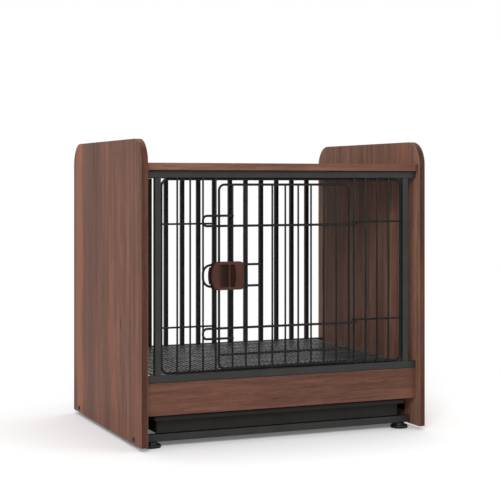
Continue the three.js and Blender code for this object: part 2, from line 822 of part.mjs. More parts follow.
function door() {
  const frame = wireFrame(
    thickWire,
    doorLeft,
    doorRight,
    doorFrameY,
    doorBottom,
    doorTop,
    doorBendRadius,
  );
  const uprights = [];
  for (let index = 1; index < doorBays; index += 1) {
    const x = doorLeft + index * doorPitch;
    uprights.push(wire(thinWire, [x, doorUprightY, doorBottom], [x, doorUprightY, doorTop]));
  }
  const z = doorThirdWire;
  const third = wire(thickWire, [doorLeft, crossWireY, z], [doorRight, crossWireY, z]);
  const hooked = [loopAndHook(upperCross, 1), loopAndHook(lowerCross, -1)];
  return join(frame, ...uprights, third, ...hooked, latchGuide());
}

add('door', door(), blackWire);

// Sliding latch

// The latch's own frame: x from its middle, y = 0 at its back with its front at -Y, z from its middle.
const latchX = latchWidth / 2 - hingeX - latchOverlap;
const latchBackY = doorFrameY - thickWire - latchWireGap;

// Front view, with the left side bulging.
function latchFace() {
  const right = latchWidth / 2;
  const top = latchHeight / 2;
  const shape = new THREE.Shape();
  shape.moveTo(latchSideRound - right, -top);
  shape.lineTo(right - latchEdgeRound, -top);
  shape.absarc(right - latchEdgeRound, latchEdgeRound - top, latchEdgeRound, -Math.PI / 2, 0);
  shape.lineTo(right, top - latchEdgeRound);
  shape.absarc(right - latchEdgeRound, top - latchEdgeRound, latchEdgeRound, 0, Math.PI / 2);
  shape.lineTo(latchSideRound - right, top);
  const bulge = -right - latchSideBulge;
  shape.bezierCurveTo(bulge, top / 2, bulge, -top / 2, latchSideRound - right, -top);
  return shape;
}

// Seen from above: a flat back and a bulging front with rounded corners.
function latchPlan() {
  const right = latchWidth / 2;
  const cheek = latchCrown - latchDepth;
  const shape = new THREE.Shape();
  shape.moveTo(-right, 0);
  shape.lineTo(-right, cheek + latchSideRound);
  shape.quadraticCurveTo(-right, cheek, latchSideRound - right, cheek);
  shape.quadraticCurveTo(0, -latchDepth - latchCrown, right - latchEdgeRound, cheek);
  shape.quadraticCurveTo(right, cheek, right, cheek + latchEdgeRound);
  shape.lineTo(right, 0);
  return shape;
}

// Seen from the side: the front's upper and lower edges are rounded.
function latchProfile() {
  const top = latchHeight / 2;
  const shape = new THREE.Shape();
  shape.moveTo(0, -top);
  shape.lineTo(0, top);
  shape.lineTo(latchEdgeRound - latchDepth, top);
  shape.quadraticCurveTo(-latchDepth, top, -latchDepth, top - latchEdgeRound);
  shape.lineTo(-latchDepth, latchEdgeRound - top);
  shape.quadraticCurveTo(-latchDepth, -top, latchEdgeRound - latchDepth, -top);
  return shape;
}

function latchBody() {
  const face = plate(latchFace(), latchDepth).rotateX(Math.PI / 2);
  const plan = plate(latchPlan(), latchHeight, -latchHeight / 2);
  const profile = plate(latchProfile(), latchWidth, -latchWidth / 2).applyMatrix4(standAcross);
  return meet(face, plan, profile);
}

// The thumb pocket, with a fin left standing in its middle.
function thumbPocket() {
  const side = pocketWidth / 2;
  const top = pocketHeight / 2;
  const outline = roundedRectangle(pocketShift - side, -top, pocketShift + side, top, pocketRound);
  const pocket = plate(outline, 2 * pocketDepth, latchDepth - pocketDepth).rotateX(Math.PI / 2);
  const finHalf = finThickness / 2;
  const crest = finDrop + finHalf - latchDepth;
  const left = pocketShift - finHalf;
  const right = pocketShift + finHalf;
  const web = boxBetween([left, crest, -latchHeight], [right, 0, latchHeight]);
  const ridge = rodUp(finHalf, 2 * latchHeight, pocketShift, crest, -latchHeight);
  return cut(pocket, join(web, ridge));
}

// Channels in the back for the guide's two legs, with room for where the guide starts to bend.
function guideChannels() {
  const legFront = crossWireY - thickWire - latchWireGap - latchBackY;
  const reach = thickWire + latchWireGap;
  const upper = { low: guideSpan / 2 - reach - latchBendRelief, high: guideSpan / 2 + reach };
  return [
    boxBetween([-latchWidth, legFront, upper.low], [latchWidth, latchDepth, upper.high]),
    boxBetween([-latchWidth, legFront, -upper.high], [latchWidth, latchDepth, -upper.low]),
  ];
}

// The tongue behind the latch: its neck passes between two door wires, and it reaches behind the fixed
// wire beside the door.
function latchTongue() {
  const neckLeft = doorLeft + thickWire + buttGap - latchX;
  const neckRight = neckLeft + neckThickness;
  const front = uprightY + thinWire + tongueGap - latchBackY;
  const back = front + tongueThickness;
  const top = tongueHeight / 2;
  const neck = boxBetween([neckLeft, -tongueThickness, -top], [neckRight, back, top]);
  const tongue = boxBetween([neckLeft - tongueReach, front, -top], [neckRight, back, top]);
  return join(neck, tongue);
}

function latchSlider() {
  return join(cut(latchBody(), thumbPocket(), ...guideChannels()), latchTongue());
}

add('latch_slider', latchSlider(), brownPlastic, latchX, latchBackY, guideHeight);

// The latch stands out in front of the case, so the middle of the outline lies in front of the case's.
crate.position.y = (latchDepth - latchBackY - caseRear) / 2;

export default crate;
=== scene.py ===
# Dog crate end table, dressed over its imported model. Metres; the front faces -Y and +Z is up.
import math

import bmesh
import bpy
import numpy as np
from mathutils import Matrix, Vector


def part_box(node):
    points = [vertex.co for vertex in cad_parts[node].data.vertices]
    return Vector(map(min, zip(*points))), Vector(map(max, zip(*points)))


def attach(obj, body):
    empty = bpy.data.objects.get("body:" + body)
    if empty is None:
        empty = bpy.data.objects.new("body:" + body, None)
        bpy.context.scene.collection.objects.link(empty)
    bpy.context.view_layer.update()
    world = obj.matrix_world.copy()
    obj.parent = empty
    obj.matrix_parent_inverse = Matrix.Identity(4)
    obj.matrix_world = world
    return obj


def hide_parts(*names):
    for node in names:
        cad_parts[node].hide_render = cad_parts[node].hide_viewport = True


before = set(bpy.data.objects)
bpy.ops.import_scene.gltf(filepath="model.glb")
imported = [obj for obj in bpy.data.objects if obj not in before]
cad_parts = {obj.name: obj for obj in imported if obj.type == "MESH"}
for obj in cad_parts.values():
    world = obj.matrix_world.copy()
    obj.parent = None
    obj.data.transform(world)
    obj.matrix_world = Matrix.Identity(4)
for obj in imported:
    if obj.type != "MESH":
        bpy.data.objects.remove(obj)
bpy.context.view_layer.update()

quarter = math.pi / 2
sides = ("left", "right")


def span(node):
    low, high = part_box(node)
    return low, high, (low + high) / 2


def pieceName(node):
    first, *rest = node.split("_")
    return first + "".join(word.title() for word in rest)


def addObject(name, data):
    made = bpy.data.objects.new(name, data)
    bpy.context.scene.collection.objects.link(made)
    return made


# Node helpers

def feed(socket, value):
    if isinstance(value, bpy.types.NodeSocket):
        socket.id_data.links.new(value, socket)
    else:
        socket.default_value = value


def put(tree, kind, sockets=None, **settings):
    made = tree.nodes.new(kind)
    for key, value in settings.items():
        setattr(made, key, value)
    for key, value in (sockets or {}).items():
        feed(made.inputs[key], value)
    return made


def math2(tree, operation, first, second=0.0, third=0.0):
    return put(tree, "ShaderNodeMath", {0: first, 1: second, 2: third}, operation=operation).outputs[0]


def times(tree, first, second):
    return math2(tree, "MULTIPLY", first, second)


def vectorMath(tree, operation, first, second=(0, 0, 0), third=(0, 0, 0)):
    return put(tree, "ShaderNodeVectorMath", {0: first, 1: second, 2: third}, operation=operation).outputs


def axisOf(tree, vector, axis):
    return put(tree, "ShaderNodeSeparateXYZ", {0: vector}).outputs[axis]


def mixColor(tree, factor, first, second, mode="MIX"):
    sockets = {0: factor, 6: first, 7: second}
    return put(tree, "ShaderNodeMix", sockets, data_type="RGBA", blend_type=mode).outputs[2]


def remap(tree, value, fromLow, fromHigh, toLow=0.0, toHigh=1.0, smooth=True):
    made = put(tree, "ShaderNodeMapRange", {
        "Value": value, "From Min": fromLow, "From Max": fromHigh, "To Min": toLow, "To Max": toHigh,
    }, interpolation_type="SMOOTHSTEP" if smooth else "LINEAR")
    return made.outputs["Result"]


def noise(tree, vector, scale, detail=2.0, roughness=0.5):
    sockets = {"Vector": vector, "Scale": scale, "Detail": detail, "Roughness": roughness}
    return put(tree, "ShaderNodeTexNoise", sockets).outputs["Fac"]


def stretched(tree, vector, factors, offset=(0, 0, 0)):
    return vectorMath(tree, "MULTIPLY_ADD", vector, factors, offset)[0]


def openTree(name, kind, inputs, outputs):
    tree = bpy.data.node_groups.new(name, kind)
    for way, sockets in (("INPUT", inputs), ("OUTPUT", outputs)):
        for label, socketKind in sockets.items():
            tree.interface.new_socket(label, in_out=way, socket_type="NodeSocket" + socketKind)
    return tree, tree.nodes.new("NodeGroupInput").outputs, tree.nodes.new("NodeGroupOutput").inputs


# Camera, lamps, floor

studio = {
    "cameraPlace": (-1.1543, -2.7866, 0.5404),
    "cameraTurn": -22.766,  # degrees about Z; the camera is level
    "lens": 96.0,
    "shiftY": -0.1355,
    "worldFill": 0.50,  # strength of the white surroundings as light
    "keyPlace": (-1.9, -3.4, 2.6), "keySize": 1.9, "keyPower": 92,
    "fillPlace": (2.6, -2.6, 1.7), "fillSize": 2.2, "fillPower": 26,
    "topPlace": (0.2, 0.4, 3.2), "topSize": 2.4, "topPower": 40,
    "aim": (0, 0, 0.3),
    "floorHalf": 9,
    "floorColor": (0.90, 0.90, 0.90, 1),
    "floorLift": 0.14,  # added for the camera, so that the open floor is white
    "floorFade": (0.55, 1.10),  # from the middle, the floor goes over to plain white
}


def makeCamera():
    data = bpy.data.cameras.new("productCamera")
    data.lens = studio["lens"]
    data.sensor_width = 36
    data.shift_y = studio["shiftY"]
    data.clip_end = 50
    camera = addObject("productCamera", data)
    camera.location = studio["cameraPlace"]
    camera.rotation_euler = (math.radians(90), 0, math.radians(studio["cameraTurn"]))
    bpy.context.scene.camera = camera


def makeLamp(name):
    data = bpy.data.lights.new(name + "Lamp", "AREA")
    data.shape = "DISK"
    data.size = studio[name + "Size"]
    data.energy = studio[name + "Power"]
    lamp = addObject(name + "Lamp", data)
    lamp.location = studio[name + "Place"]
    aim = Vector(studio["aim"]) - Vector(studio[name + "Place"])
    lamp.rotation_euler = aim.to_track_quat("-Z", "Y").to_euler()


def clearTree(owner):
    owner.use_nodes = True
    tree = owner.node_tree
    tree.nodes.clear()
    path = tree.nodes.new("ShaderNodeLightPath").outputs
    return tree, path, math2(tree, "MAXIMUM", path["Is Camera Ray"], path["Is Transmission Ray"])


def makeWorld():
    world = bpy.data.worlds.new("whiteStudio")
    bpy.context.scene.world = world
    tree, path, seen = clearTree(world)
    shown = math2(tree, "MAXIMUM", seen, path["Is Glossy Ray"])
    strength = remap(tree, shown, 0.0, 1.0, studio["worldFill"], 1.0, smooth=False)
    white = put(tree, "ShaderNodeBackground", {"Color": (1, 1, 1, 1), "Strength": strength})
    put(tree, "ShaderNodeOutputWorld", {"Surface": white.outputs[0]})


def makeFloor():
    half = studio["floorHalf"]
    mesh = bpy.data.meshes.new("studioFloor")
    corners = [(x * half, y * half, 0) for x, y in ((-1, -1), (1, -1), (1, 1), (-1, 1))]
    mesh.from_pydata(corners, [], [(0, 1, 2, 3)])
    floor = addObject("studioFloor", mesh)
    material = bpy.data.materials.new("paleFloor")
    tree, path, seen = clearTree(material)
    diffuse = put(tree, "ShaderNodeBsdfDiffuse", {"Color": studio["floorColor"]})
    glow = put(tree, "ShaderNodeEmission", {"Strength": times(tree, seen, studio["floorLift"])})
    lit = put(tree, "ShaderNodeAddShader", {0: diffuse.outputs[0], 1: glow.outputs[0]})
    place = tree.nodes.new("ShaderNodeTexCoord").outputs["Object"]
    away = remap(tree, vectorMath(tree, "LENGTH", place)["Value"], *studio["floorFade"])
    white = tree.nodes.new("ShaderNodeEmission").outputs[0]
    faded = put(tree, "ShaderNodeMixShader", {0: times(tree, away, seen), 1: lit.outputs[0], 2: white})
    put(tree, "ShaderNodeOutputMaterial", {"Surface": faded.outputs[0]})
    mesh.materials.append(material)


makeCamera()
for lampName in ("key", "fill", "top"):
    makeLamp(lampName)
makeWorld()
makeFloor()
bpy.context.scene.view_settings.view_transform = "Standard"
print("studio ready")


# Shared effects

def effect(name, inputs, outputs):
    return openTree(name, "ShaderNodeTree", {"Vector": "Vector", **inputs}, outputs)


def makeVeneer():
    tree, given, out = effect(
        "walnutVeneer",
        {"Light": "Color", "Mid": "Color", "Dark": "Color", "Figure": "Float", "Pores": "Float"},
        {"Color": "Color", "Roughness": "Float", "Height": "Float"},
    )
    vector = given["Vector"]
    waver = noise(tree, stretched(tree, vector, (1, 1, 0.5)), 3.2, 1.0)
    push = math2(tree, "MULTIPLY_ADD", waver, 0.05, -0.025)
    pushed = vectorMath(tree, "ADD", vector, push)[0]
    grain = stretched(tree, pushed, (1, 1, 0.045))
    bands = remap(tree, noise(tree, grain, 15.0, 3.0), 0.36, 0.66)
    color = mixColor(tree, times(tree, bands, given["Figure"]), given["Mid"], given["Dark"])
    glow = remap(tree, noise(tree, stretched(tree, grain, (1, 1, 1), (4.1, 2.7, 0.3)), 24.0, 3.0), 0.5, 0.74)
    color = mixColor(tree, times(tree, glow, given["Figure"]), color, given["Light"])
    lines = remap(tree, noise(tree, grain, 130.0, 4.0, 0.62), 0.32, 0.68, 0.74, 1.24, smooth=False)
    fibres = remap(tree, noise(tree, grain, 640.0, 2.0), 0.3, 0.7, 0.90, 1.09, smooth=False)
    strands = noise(tree, stretched(tree, pushed, (1, 1, 0.07)), 44.0, 3.0, 0.68)
    strands = remap(tree, strands, 0.34, 0.66, 0.82, 1.17, smooth=False)
    tone = times(tree, times(tree, lines, fibres), strands)
    dashes = noise(tree, stretched(tree, pushed, (1, 1, 0.03)), 1300.0, 1.0)
    pores = times(tree, remap(tree, dashes, 0.60, 0.70), given["Pores"])
    tone = times(tree, tone, math2(tree, "MULTIPLY_ADD", pores, -0.30, 1.0))
    color = mixColor(tree, 1.0, color, tone, "MULTIPLY")
    feed(out["Color"], color)
    feed(out["Roughness"], math2(tree, "MULTIPLY_ADD", fibres, -0.5, 1.02))
    feed(out["Height"], math2(tree, "SUBTRACT", fibres, pores))
    return tree


def makeStreak():
    tree, given, out = effect("longStreak", {"Place": "Float", "Half Width": "Float"}, {"Mask": "Float"})
    waver = noise(tree, stretched(tree, given["Vector"], (1, 1, 0.6)), 6.0, 3.0, 0.6)
    offset = math2(tree, "SUBTRACT", axisOf(tree, given["Vector"], "Y"), given["Place"])
    offset = math2(tree, "MULTIPLY_ADD", math2(tree, "SUBTRACT", waver, 0.5), 0.055, offset)
    share = math2(tree, "DIVIDE", math2(tree, "ABSOLUTE", offset), given["Half Width"])
    fine = noise(tree, stretched(tree, given["Vector"], (1, 1, 0.04)), 160.0, 3.0)
    share = math2(tree, "ADD", share, math2(tree, "MULTIPLY_ADD", fine, 0.8, -0.4))
    feed(out["Mask"], remap(tree, share, 0.35, 1.0, 1.0, 0.0))
    return tree


def makeEdgeRub():
    tree, given, out = effect("edgeRub", {"Reach": "Float"}, {"Mask": "Float"})
    rounded = put(tree, "ShaderNodeBevel", {"Radius": given["Reach"]}, samples=4).outputs[0]
    flat = tree.nodes.new("ShaderNodeNewGeometry").outputs["True Normal"]
    edge = remap(tree, vectorMath(tree, "DOT_PRODUCT", rounded, flat)["Value"], 0.995, 0.86)
    patches = remap(tree, noise(tree, given["Vector"], 55.0, 4.0, 0.6), 0.38, 0.62, 0.25, 1.0)
    feed(out["Mask"], times(tree, edge, patches))
    return tree


def makeDust():
    tree, given, out = effect("settledDust", {}, {"Mask": "Float"})
    up = axisOf(tree, tree.nodes.new("ShaderNodeNewGeometry").outputs["Normal"], "Z")
    patches = remap(tree, noise(tree, given["Vector"], 38.0, 5.0, 0.65), 0.35, 0.75)
    specks = remap(tree, noise(tree, given["Vector"], 900.0, 1.0), 0.62, 0.72)
    soft = math2(tree, "MULTIPLY_ADD", patches, 0.7, times(tree, specks, 0.5))
    feed(out["Mask"], times(tree, remap(tree, up, 0.6, 1.0), soft))
    return tree


def makeCoating():
    outputs = {"Tone": "Float", "Roughness": "Float", "Height": "Float"}
    tree, given, out = effect("coatedSurface", {"Peel Scale": "Float"}, outputs)
    vector = given["Vector"]
    feed(out["Tone"], remap(tree, noise(tree, vector, 26.0, 3.0), 0.3, 0.7, 0.9, 1.12))
    feed(out["Roughness"], remap(tree, noise(tree, vector, 70.0, 4.0), 0.3, 0.7, -0.06, 0.08))
    feed(out["Height"], noise(tree, vector, given["Peel Scale"], 2.0))
    return tree


shared = {
    "veneer": makeVeneer(), "streak": makeStreak(), "rub": makeEdgeRub(), "dust": makeDust(),
    "coating": makeCoating(),
}


def use(tree, name, **sockets):
    made = put(tree, "ShaderNodeGroup", node_tree=shared[name])
    for key, value in sockets.items():
        feed(made.inputs[key.replace("_", " ")], value)
    return made.outputs


def newMaterial(name):
    material = bpy.data.materials.new(name)
    material.use_nodes = True
    tree = material.node_tree
    place = tree.nodes.new("ShaderNodeTexCoord").outputs["Object"]
    return material, tree, tree.nodes["Principled BSDF"].inputs, place


def tint(*levels):
    shares = [level / 255 for level in levels]
    return (*(((share + 0.055) / 1.055) ** 2.4 if share > 0.04 else share / 12.92 for share in shares), 1)


# Rubbed edges and dust over a colour. The dust is also given back, for the roughness.
def worn(tree, place, color, reach, rubShare, rubbed, dustShare, dusty):
    rub = use(tree, "rub", Vector=place, Reach=reach)["Mask"]
    color = mixColor(tree, times(tree, rub, rubShare), color, rubbed)
    dust = use(tree, "dust", Vector=place)["Mask"]
    return mixColor(tree, times(tree, dust, dustShare), color, dusty), dust


def bumpInto(tree, shader, height, strength, depth):
    bump = put(tree, "ShaderNodeBump", {"Height": height, "Strength": strength, "Distance": depth})
    feed(shader["Normal"], bump.outputs[0])


# Wood. Each board's tones are light, middle and dark.

wood = {
    "panel": (tint(152, 98, 74), tint(123, 82, 67), tint(97, 66, 56)),
    # The right panel's tones are lighter than the left's, as painted light on its inner face.
    "right": (tint(158, 112, 90), tint(132, 96, 80), tint(107, 80, 69)),
    "edge": (tint(106, 68, 53), tint(84, 54, 43), tint(64, 41, 33)),
    "band": (tint(142, 101, 85), tint(120, 84, 70), tint(98, 67, 56)),
    "apron": (tint(128, 86, 70), tint(108, 73, 60), tint(86, 57, 48)),
    "orange": tint(168, 108, 78), "grey": tint(106, 74, 61), "knot": tint(66, 46, 40),
    "knotScale": 90.0, "knotWaver": 1.2, "rubReach": 0.0012, "rubShare": 0.18, "shine": 0.09,
    "dusty": tint(190, 185, 180), "dustShare": 0.05, "dustRough": 0.2, "bump": 0.35, "bumpDeep": 0.00012,
}


def woodMaterial(name, tones, turn=(0, 0, 0), shift=(0, 0, 0), streaks=(), figure=1.0, pores=1.0, knot=None):
    material, tree, shader, place = newMaterial(name)
    grain = put(tree, "ShaderNodeMapping", {"Vector": place, "Location": shift, "Rotation": turn}).outputs[0]
    light, mid, dark = wood[tones]
    veneer = use(tree, "veneer", Vector=grain, Light=light, Mid=mid, Dark=dark, Figure=figure, Pores=pores)
    color = veneer["Color"]
    for spot, halfWidth, tone, strength in streaks:
        mask = use(tree, "streak", Vector=place, Place=spot, Half_Width=halfWidth)["Mask"]
        color = mixColor(tree, times(tree, mask, strength), color, wood[tone])
    if knot:
        offset = vectorMath(tree, "SUBTRACT", place, knot[0])[0]
        reach = vectorMath(tree, "LENGTH", vectorMath(tree, "DIVIDE", offset, knot[1])[0])["Value"]
        waver = math2(tree, "SUBTRACT", noise(tree, place, wood["knotScale"], 3.0), 0.5)
        reach = math2(tree, "MULTIPLY_ADD", waver, wood["knotWaver"], reach)
        color = mixColor(tree, remap(tree, reach, 0.3, 1.1, 0.75, 0.0), color, wood["knot"])
    color, dust = worn(tree, place, color, wood["rubReach"], wood["rubShare"], wood["band"][0],
                       wood["dustShare"], wood["dusty"])
    feed(shader["Base Color"], color)
    feed(shader["Roughness"], math2(tree, "MULTIPLY_ADD", dust, wood["dustRough"], veneer["Roughness"]))
    feed(shader["Specular IOR Level"], wood["shine"])
    bumpInto(tree, shader, veneer["Height"], wood["bump"], wood["bumpDeep"])
    return material


# Coatings and plastics

coated = {"rubReach": 0.0009, "rubbed": tint(110, 110, 112), "dusty": tint(150, 148, 145), "dustRough": 0.25,
          "bumpDeep": 0.00010}


def coatedMaterial(name, color, roughness, peel, bump, rubbed=coated["rubbed"], rubShare=0.35,
                   dustShare=0.08, metallic=0.0, shine=0.22, recess=None):
    material, tree, shader, place = newMaterial(name)
    coat = use(tree, "coating", Vector=place, Peel_Scale=peel)
    shade = mixColor(tree, 1.0, color, coat["Tone"], "MULTIPLY")
    shade, dust = worn(tree, place, shade, coated["rubReach"], rubShare, rubbed, dustShare, coated["dusty"])
    if recess:  # painted shade: darker by the distance from a level
        axis, level, ramp = recess
        depth = math2(tree, "ABSOLUTE", math2(tree, "SUBTRACT", axisOf(tree, place, axis), level))
        shade = mixColor(tree, 1.0, shade, remap(tree, depth, *ramp), "MULTIPLY")
    rough = math2(tree, "ADD", coat["Roughness"], roughness)
    feed(shader["Metallic"], metallic)
    feed(shader["Specular IOR Level"], shine)
    feed(shader["Base Color"], shade)
    feed(shader["Roughness"], math2(tree, "MULTIPLY_ADD", dust, coated["dustRough"], rough))
    bumpInto(tree, shader, coat["Height"], bump, coated["bumpDeep"])
    return material


lengthwise = (0, quarter, 0)
finish = {
    "panelLeft": woodMaterial("walnutPanelLeft", "panel", shift=(0.31, 0.0, 0.0), figure=0.8,
                              streaks=[(0.206, 0.044, "orange", 0.60), (0.135, 0.055, "grey", 0.65)],
                              knot=((-0.325, -0.113, 0.243), (0.05, 0.0060, 0.021))),
    "panelRight": woodMaterial("walnutPanelRight", "right", shift=(0.77, 0.4, 0.0), figure=0.8,
                               streaks=[(-0.185, 0.030, "orange", 0.35), (-0.06, 0.028, "grey", 0.4)],
                               knot=((0.325, -0.085, 0.405), (0.05, 0.003, 0.022))),
    "panelEdge": woodMaterial("walnutPanelEdge", "edge", figure=0.8, pores=1.6),
    "top": woodMaterial("walnutTop", "panel", lengthwise, (0.2, 0.9, 0.1)),
    "topEdge": woodMaterial("walnutTopEdge", "band", lengthwise, (0.5, 0.3, 0.2), figure=0.7, pores=1.5),
    "apron": woodMaterial("walnutApron", "apron", lengthwise, (0.15, 0.91, 0.37), figure=0.55, pores=1.3),
    "beech": woodMaterial("rawBeech", "band", lengthwise, figure=0.4),
    "steel": coatedMaterial("charcoalPowderCoat", tint(45, 45, 44), 0.46, 900.0, 0.3),
    "wire": coatedMaterial("blackCoatedWire", tint(22, 22, 23), 0.40, 1100.0, 0.2, rubShare=0.1, shine=0.16),
    # Mid grey on the web tops is painted sheen on the black plastic; the slot walls below the top are
    # darkened as painted shade.
    "floor": coatedMaterial("blackMouldedFloor", tint(92, 92, 93), 0.38, 1500.0, 0.15, rubShare=0.3,
                            rubbed=tint(118, 119, 120), recess=("Z", 0.1475, (0.0009, 0.00108, 0.02, 1.0))),
    "tray": coatedMaterial("blackMouldedTray", tint(33, 32, 30), 0.5, 1600.0, 0.4, rubShare=0.2, shine=0.15),
    "foot": coatedMaterial("blackFootPlastic", tint(20, 20, 20), 0.32, 1200.0, 0.2, rubShare=0.1, shine=0.3),
    "bolt": coatedMaterial("blackBolt", tint(20, 19, 19), 0.34, 1400.0, 0.2, rubShare=0.2, shine=0.3),
    "zinc": coatedMaterial("zincScrew", tint(150, 150, 148), 0.3, 1600.0, 0.15, rubShare=0.2, metallic=1.0),
    # The pocket is darkened with its depth behind the front, as painted shade.
    "latch": coatedMaterial("brownLatchPlastic", tint(72, 43, 35), 0.38, 1300.0, 0.10, rubShare=0.15,
                            rubbed=tint(108, 70, 60), dustShare=0.02, shine=0.12,
                            recess=("Y", 0.0, (0.2485, 0.2557, 0.24, 1.0))),
}
print("finishes ready:", len(finish))


# Mesh helpers

def meshPiece(name, points, faces, *materials):
    mesh = bpy.data.meshes.new(name)
    mesh.from_pydata([tuple(point) for point in points], [], faces)
    for material in materials:
        mesh.materials.append(material)
    return addObject(name, mesh)


def faceOutwards(piece, mergeDistance=1e-6):
    shape = bmesh.new()
    shape.from_mesh(piece.data)
    bmesh.ops.remove_doubles(shape, verts=shape.verts, dist=mergeDistance)
    bmesh.ops.recalc_face_normals(shape, faces=shape.faces)
    shape.to_mesh(piece.data)
    shape.free()


def smooth(piece, angle):
    piece.data.shade_smooth()
    piece.data.set_sharp_from_angle(angle=math.radians(angle))


def settle(piece):
    graph = bpy.context.evaluated_depsgraph_get()
    mesh = bpy.data.meshes.new_from_object(piece.evaluated_get(graph))
    piece.modifiers.clear()
    piece.data = mesh
    mesh.name = piece.name


def weightNormals(piece):
    piece.data.shade_smooth()
    piece.modifiers.new("evenShading", "WEIGHTED_NORMAL").keep_sharp = True
    settle(piece)


def carve(piece, points, faces):
    cutter = meshPiece("carvingBit", points, faces)
    faceOutwards(cutter)
    cut = piece.modifiers.new("cut", "BOOLEAN")
    cut.operation = "DIFFERENCE"
    cut.solver = "EXACT"
    cut.object = cutter
    settle(piece)
    bpy.data.objects.remove(cutter)


def dress(piece, body, slot, *nodes):
    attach(piece, body)
    if nodes:
        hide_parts(*nodes)


def cornerArc(u, v, radius, start, turn, steps):
    angles = [start + turn * step / steps for step in range(steps + 1)]
    return [(u + radius * math.cos(angle), v + radius * math.sin(angle)) for angle in angles]


def roundedRect(left, bottom, right, top, radii, steps):
    bl, br, tr, tl = radii if hasattr(radii, "__len__") else (radii,) * 4
    points = []
    corners = ((left + bl, bottom + bl, bl, math.pi), (right - br, bottom + br, br, 1.5 * math.pi),
               (right - tr, top - tr, tr, 0), (left + tl, top - tl, tl, quarter))
    for u, v, radius, start in corners:
        points += cornerArc(u, v, radius, start, quarter, steps) if radius else [(u, v)]
    return points


def inset(outline, amount):
    made = []
    for index, point in enumerate(outline):
        here = Vector(point)
        before = (here - Vector(outline[index - 1])).normalized()
        after = (Vector(outline[(index + 1) % len(outline)]) - here).normalized()
        first, second = Vector((-before.y, before.x)), Vector((-after.y, after.x))
        made.append(here + (first + second) * (amount / (1 + first.dot(second))))
    return made


def loft(rings, closed=False):
    count = len(rings[0])
    points = [point for ring in rings for point in ring]
    faces = []
    for index in range(len(rings) if closed else len(rings) - 1):
        first, second = index * count, ((index + 1) % len(rings)) * count
        for step in range(count):
            after = (step + 1) % count
            faces.append((first + step, first + after, second + after, second + step))
    if not closed:
        faces.append(tuple(range(count - 1, -1, -1)))
        faces.append(tuple(range(len(points) - count, len(points))))
    return points, faces


def lofted(name, rings, material, angle, merge=1e-6, closed=False):
    piece = meshPiece(name, *loft(rings, closed), material)
    faceOutwards(piece, merge)
    smooth(piece, angle)
    return piece


def insetRings(outline, levels, place):
    return [[place(*point, level) for point in inset(outline, shrink)] for shrink, level in levels]


def section(low, high, axis, radii, steps):
    u, v = [k for k in range(3) if k != axis]
    return roundedRect(low[u], low[v], high[u], high[v], radii, steps)


def along(axis):
    return lambda u, v, w: (u, v)[:axis] + (w,) + (u, v)[axis:]


def easedSlab(name, outline, low, high, ease, place, materials, steps=3):
    angles = [quarter * step / steps for step in range(steps + 1)]
    levels = [(ease * (1 - math.sin(a)), low + ease * (1 - math.cos(a))) for a in angles]
    levels += [(shrink, low + high - level) for shrink, level in reversed(levels)]
    piece = meshPiece(name, *loft(insetRings(outline, levels, place)), *materials)
    if len(materials) > 1:
        for index in range(steps * len(outline), (steps + 1) * len(outline)):  # the wall
            piece.data.polygons[index].material_index = 1
    faceOutwards(piece)
    weightNormals(piece)
    return piece


def roundedPath(corners, step=math.radians(9)):
    places = [Vector(corner[:3]) for corner in corners]
    path = [places[0]]
    for index in range(1, len(places) - 1):
        corner, radius = places[index], corners[index][3]
        back = (places[index - 1] - corner).normalized()
        on = (places[index + 1] - corner).normalized()
        half = back.angle(on) / 2
        centre = corner + (back + on).normalized() * (radius / math.sin(half))
        start, end = (corner + way * (radius / math.tan(half)) - centre for way in (back, on))
        turn = start.angle(end)
        steps = max(2, math.ceil(turn / step))
        for count in range(steps + 1):
            angle = turn * count / steps
            path.append(centre + (start * math.sin(turn - angle) + end * math.sin(angle)) / math.sin(turn))
    path.append(places[-1])
    return path


def sweep(path, radius, sides, domed=True, closed=False):
    last = len(path) - 1
    padded = [path[-1], *path, path[0]] if closed else [path[0], *path, path[-1]]
    tangents = [(after - before).normalized() for before, after in zip(padded, padded[2:])]
    side = tangents[0].orthogonal().normalized()
    angles = [2 * math.pi * k / sides for k in range(sides)]
    rings = []
    for index, (place, tangent) in enumerate(zip(path, tangents)):
        side = (side - tangent * side.dot(tangent)).normalized()
        up = tangent.cross(side)
        levels = [(1.0, 0.0)]
        if domed and not closed and index in (0, last):
            bulge = -0.5 if index == 0 else 0.5
            levels = [(math.cos(angle), bulge * math.sin(angle)) for angle in (0.0, 0.6, 1.1, 1.4)]
            if index == 0:
                levels.reverse()
        for share, push in levels:
            centre = place + tangent * (push * radius)
            reach = radius * share
            rings.append([centre + (side * math.cos(a) + up * math.sin(a)) * reach for a in angles])
    return loft(rings, closed)


# Geometry Nodes helpers

def growTree(name, inputs):
    shape = {"Geometry": "Geometry"}
    return openTree(name, "GeometryNodeTree", {**shape, **inputs}, shape)


def add(tree, kind, sockets):
    return put(tree, "GeometryNode" + kind, sockets).outputs[0]


def grow(piece, tree, values):
    modifier = piece.modifiers.new("grown", "NODES")
    modifier.node_group = tree
    sockets = {item.name: item.identifier for item in tree.interface.items_tree if item.in_out == "INPUT"}
    for label, value in values.items():
        modifier[sockets[label]] = value
    settle(piece)


def makeRepeat():
    inputs = {"Count": "Int", "Step": "Vector", "Material": "Material"}
    tree, given, out = growTree("repeatAlong", inputs)
    line = add(tree, "MeshLine", {"Count": given["Count"], "Offset": given["Step"]})
    row = add(tree, "InstanceOnPoints", {"Points": line, "Instance": given["Geometry"]})
    real = add(tree, "RealizeInstances", {0: row})
    feed(out["Geometry"], add(tree, "SetMaterial", {"Geometry": real, "Material": given["Material"]}))
    return tree


repeatAlong = makeRepeat()


def repeat(piece, count, step):
    grow(piece, repeatAlong, {"Count": count, "Step": step, "Material": piece.data.materials[0]})


# Side panels and boards

board = {"panelCorner": 0.050, "panelFoot": 0.002, "panelEase": 0.0012, "boardEase": 0.0010, "steps": 24}


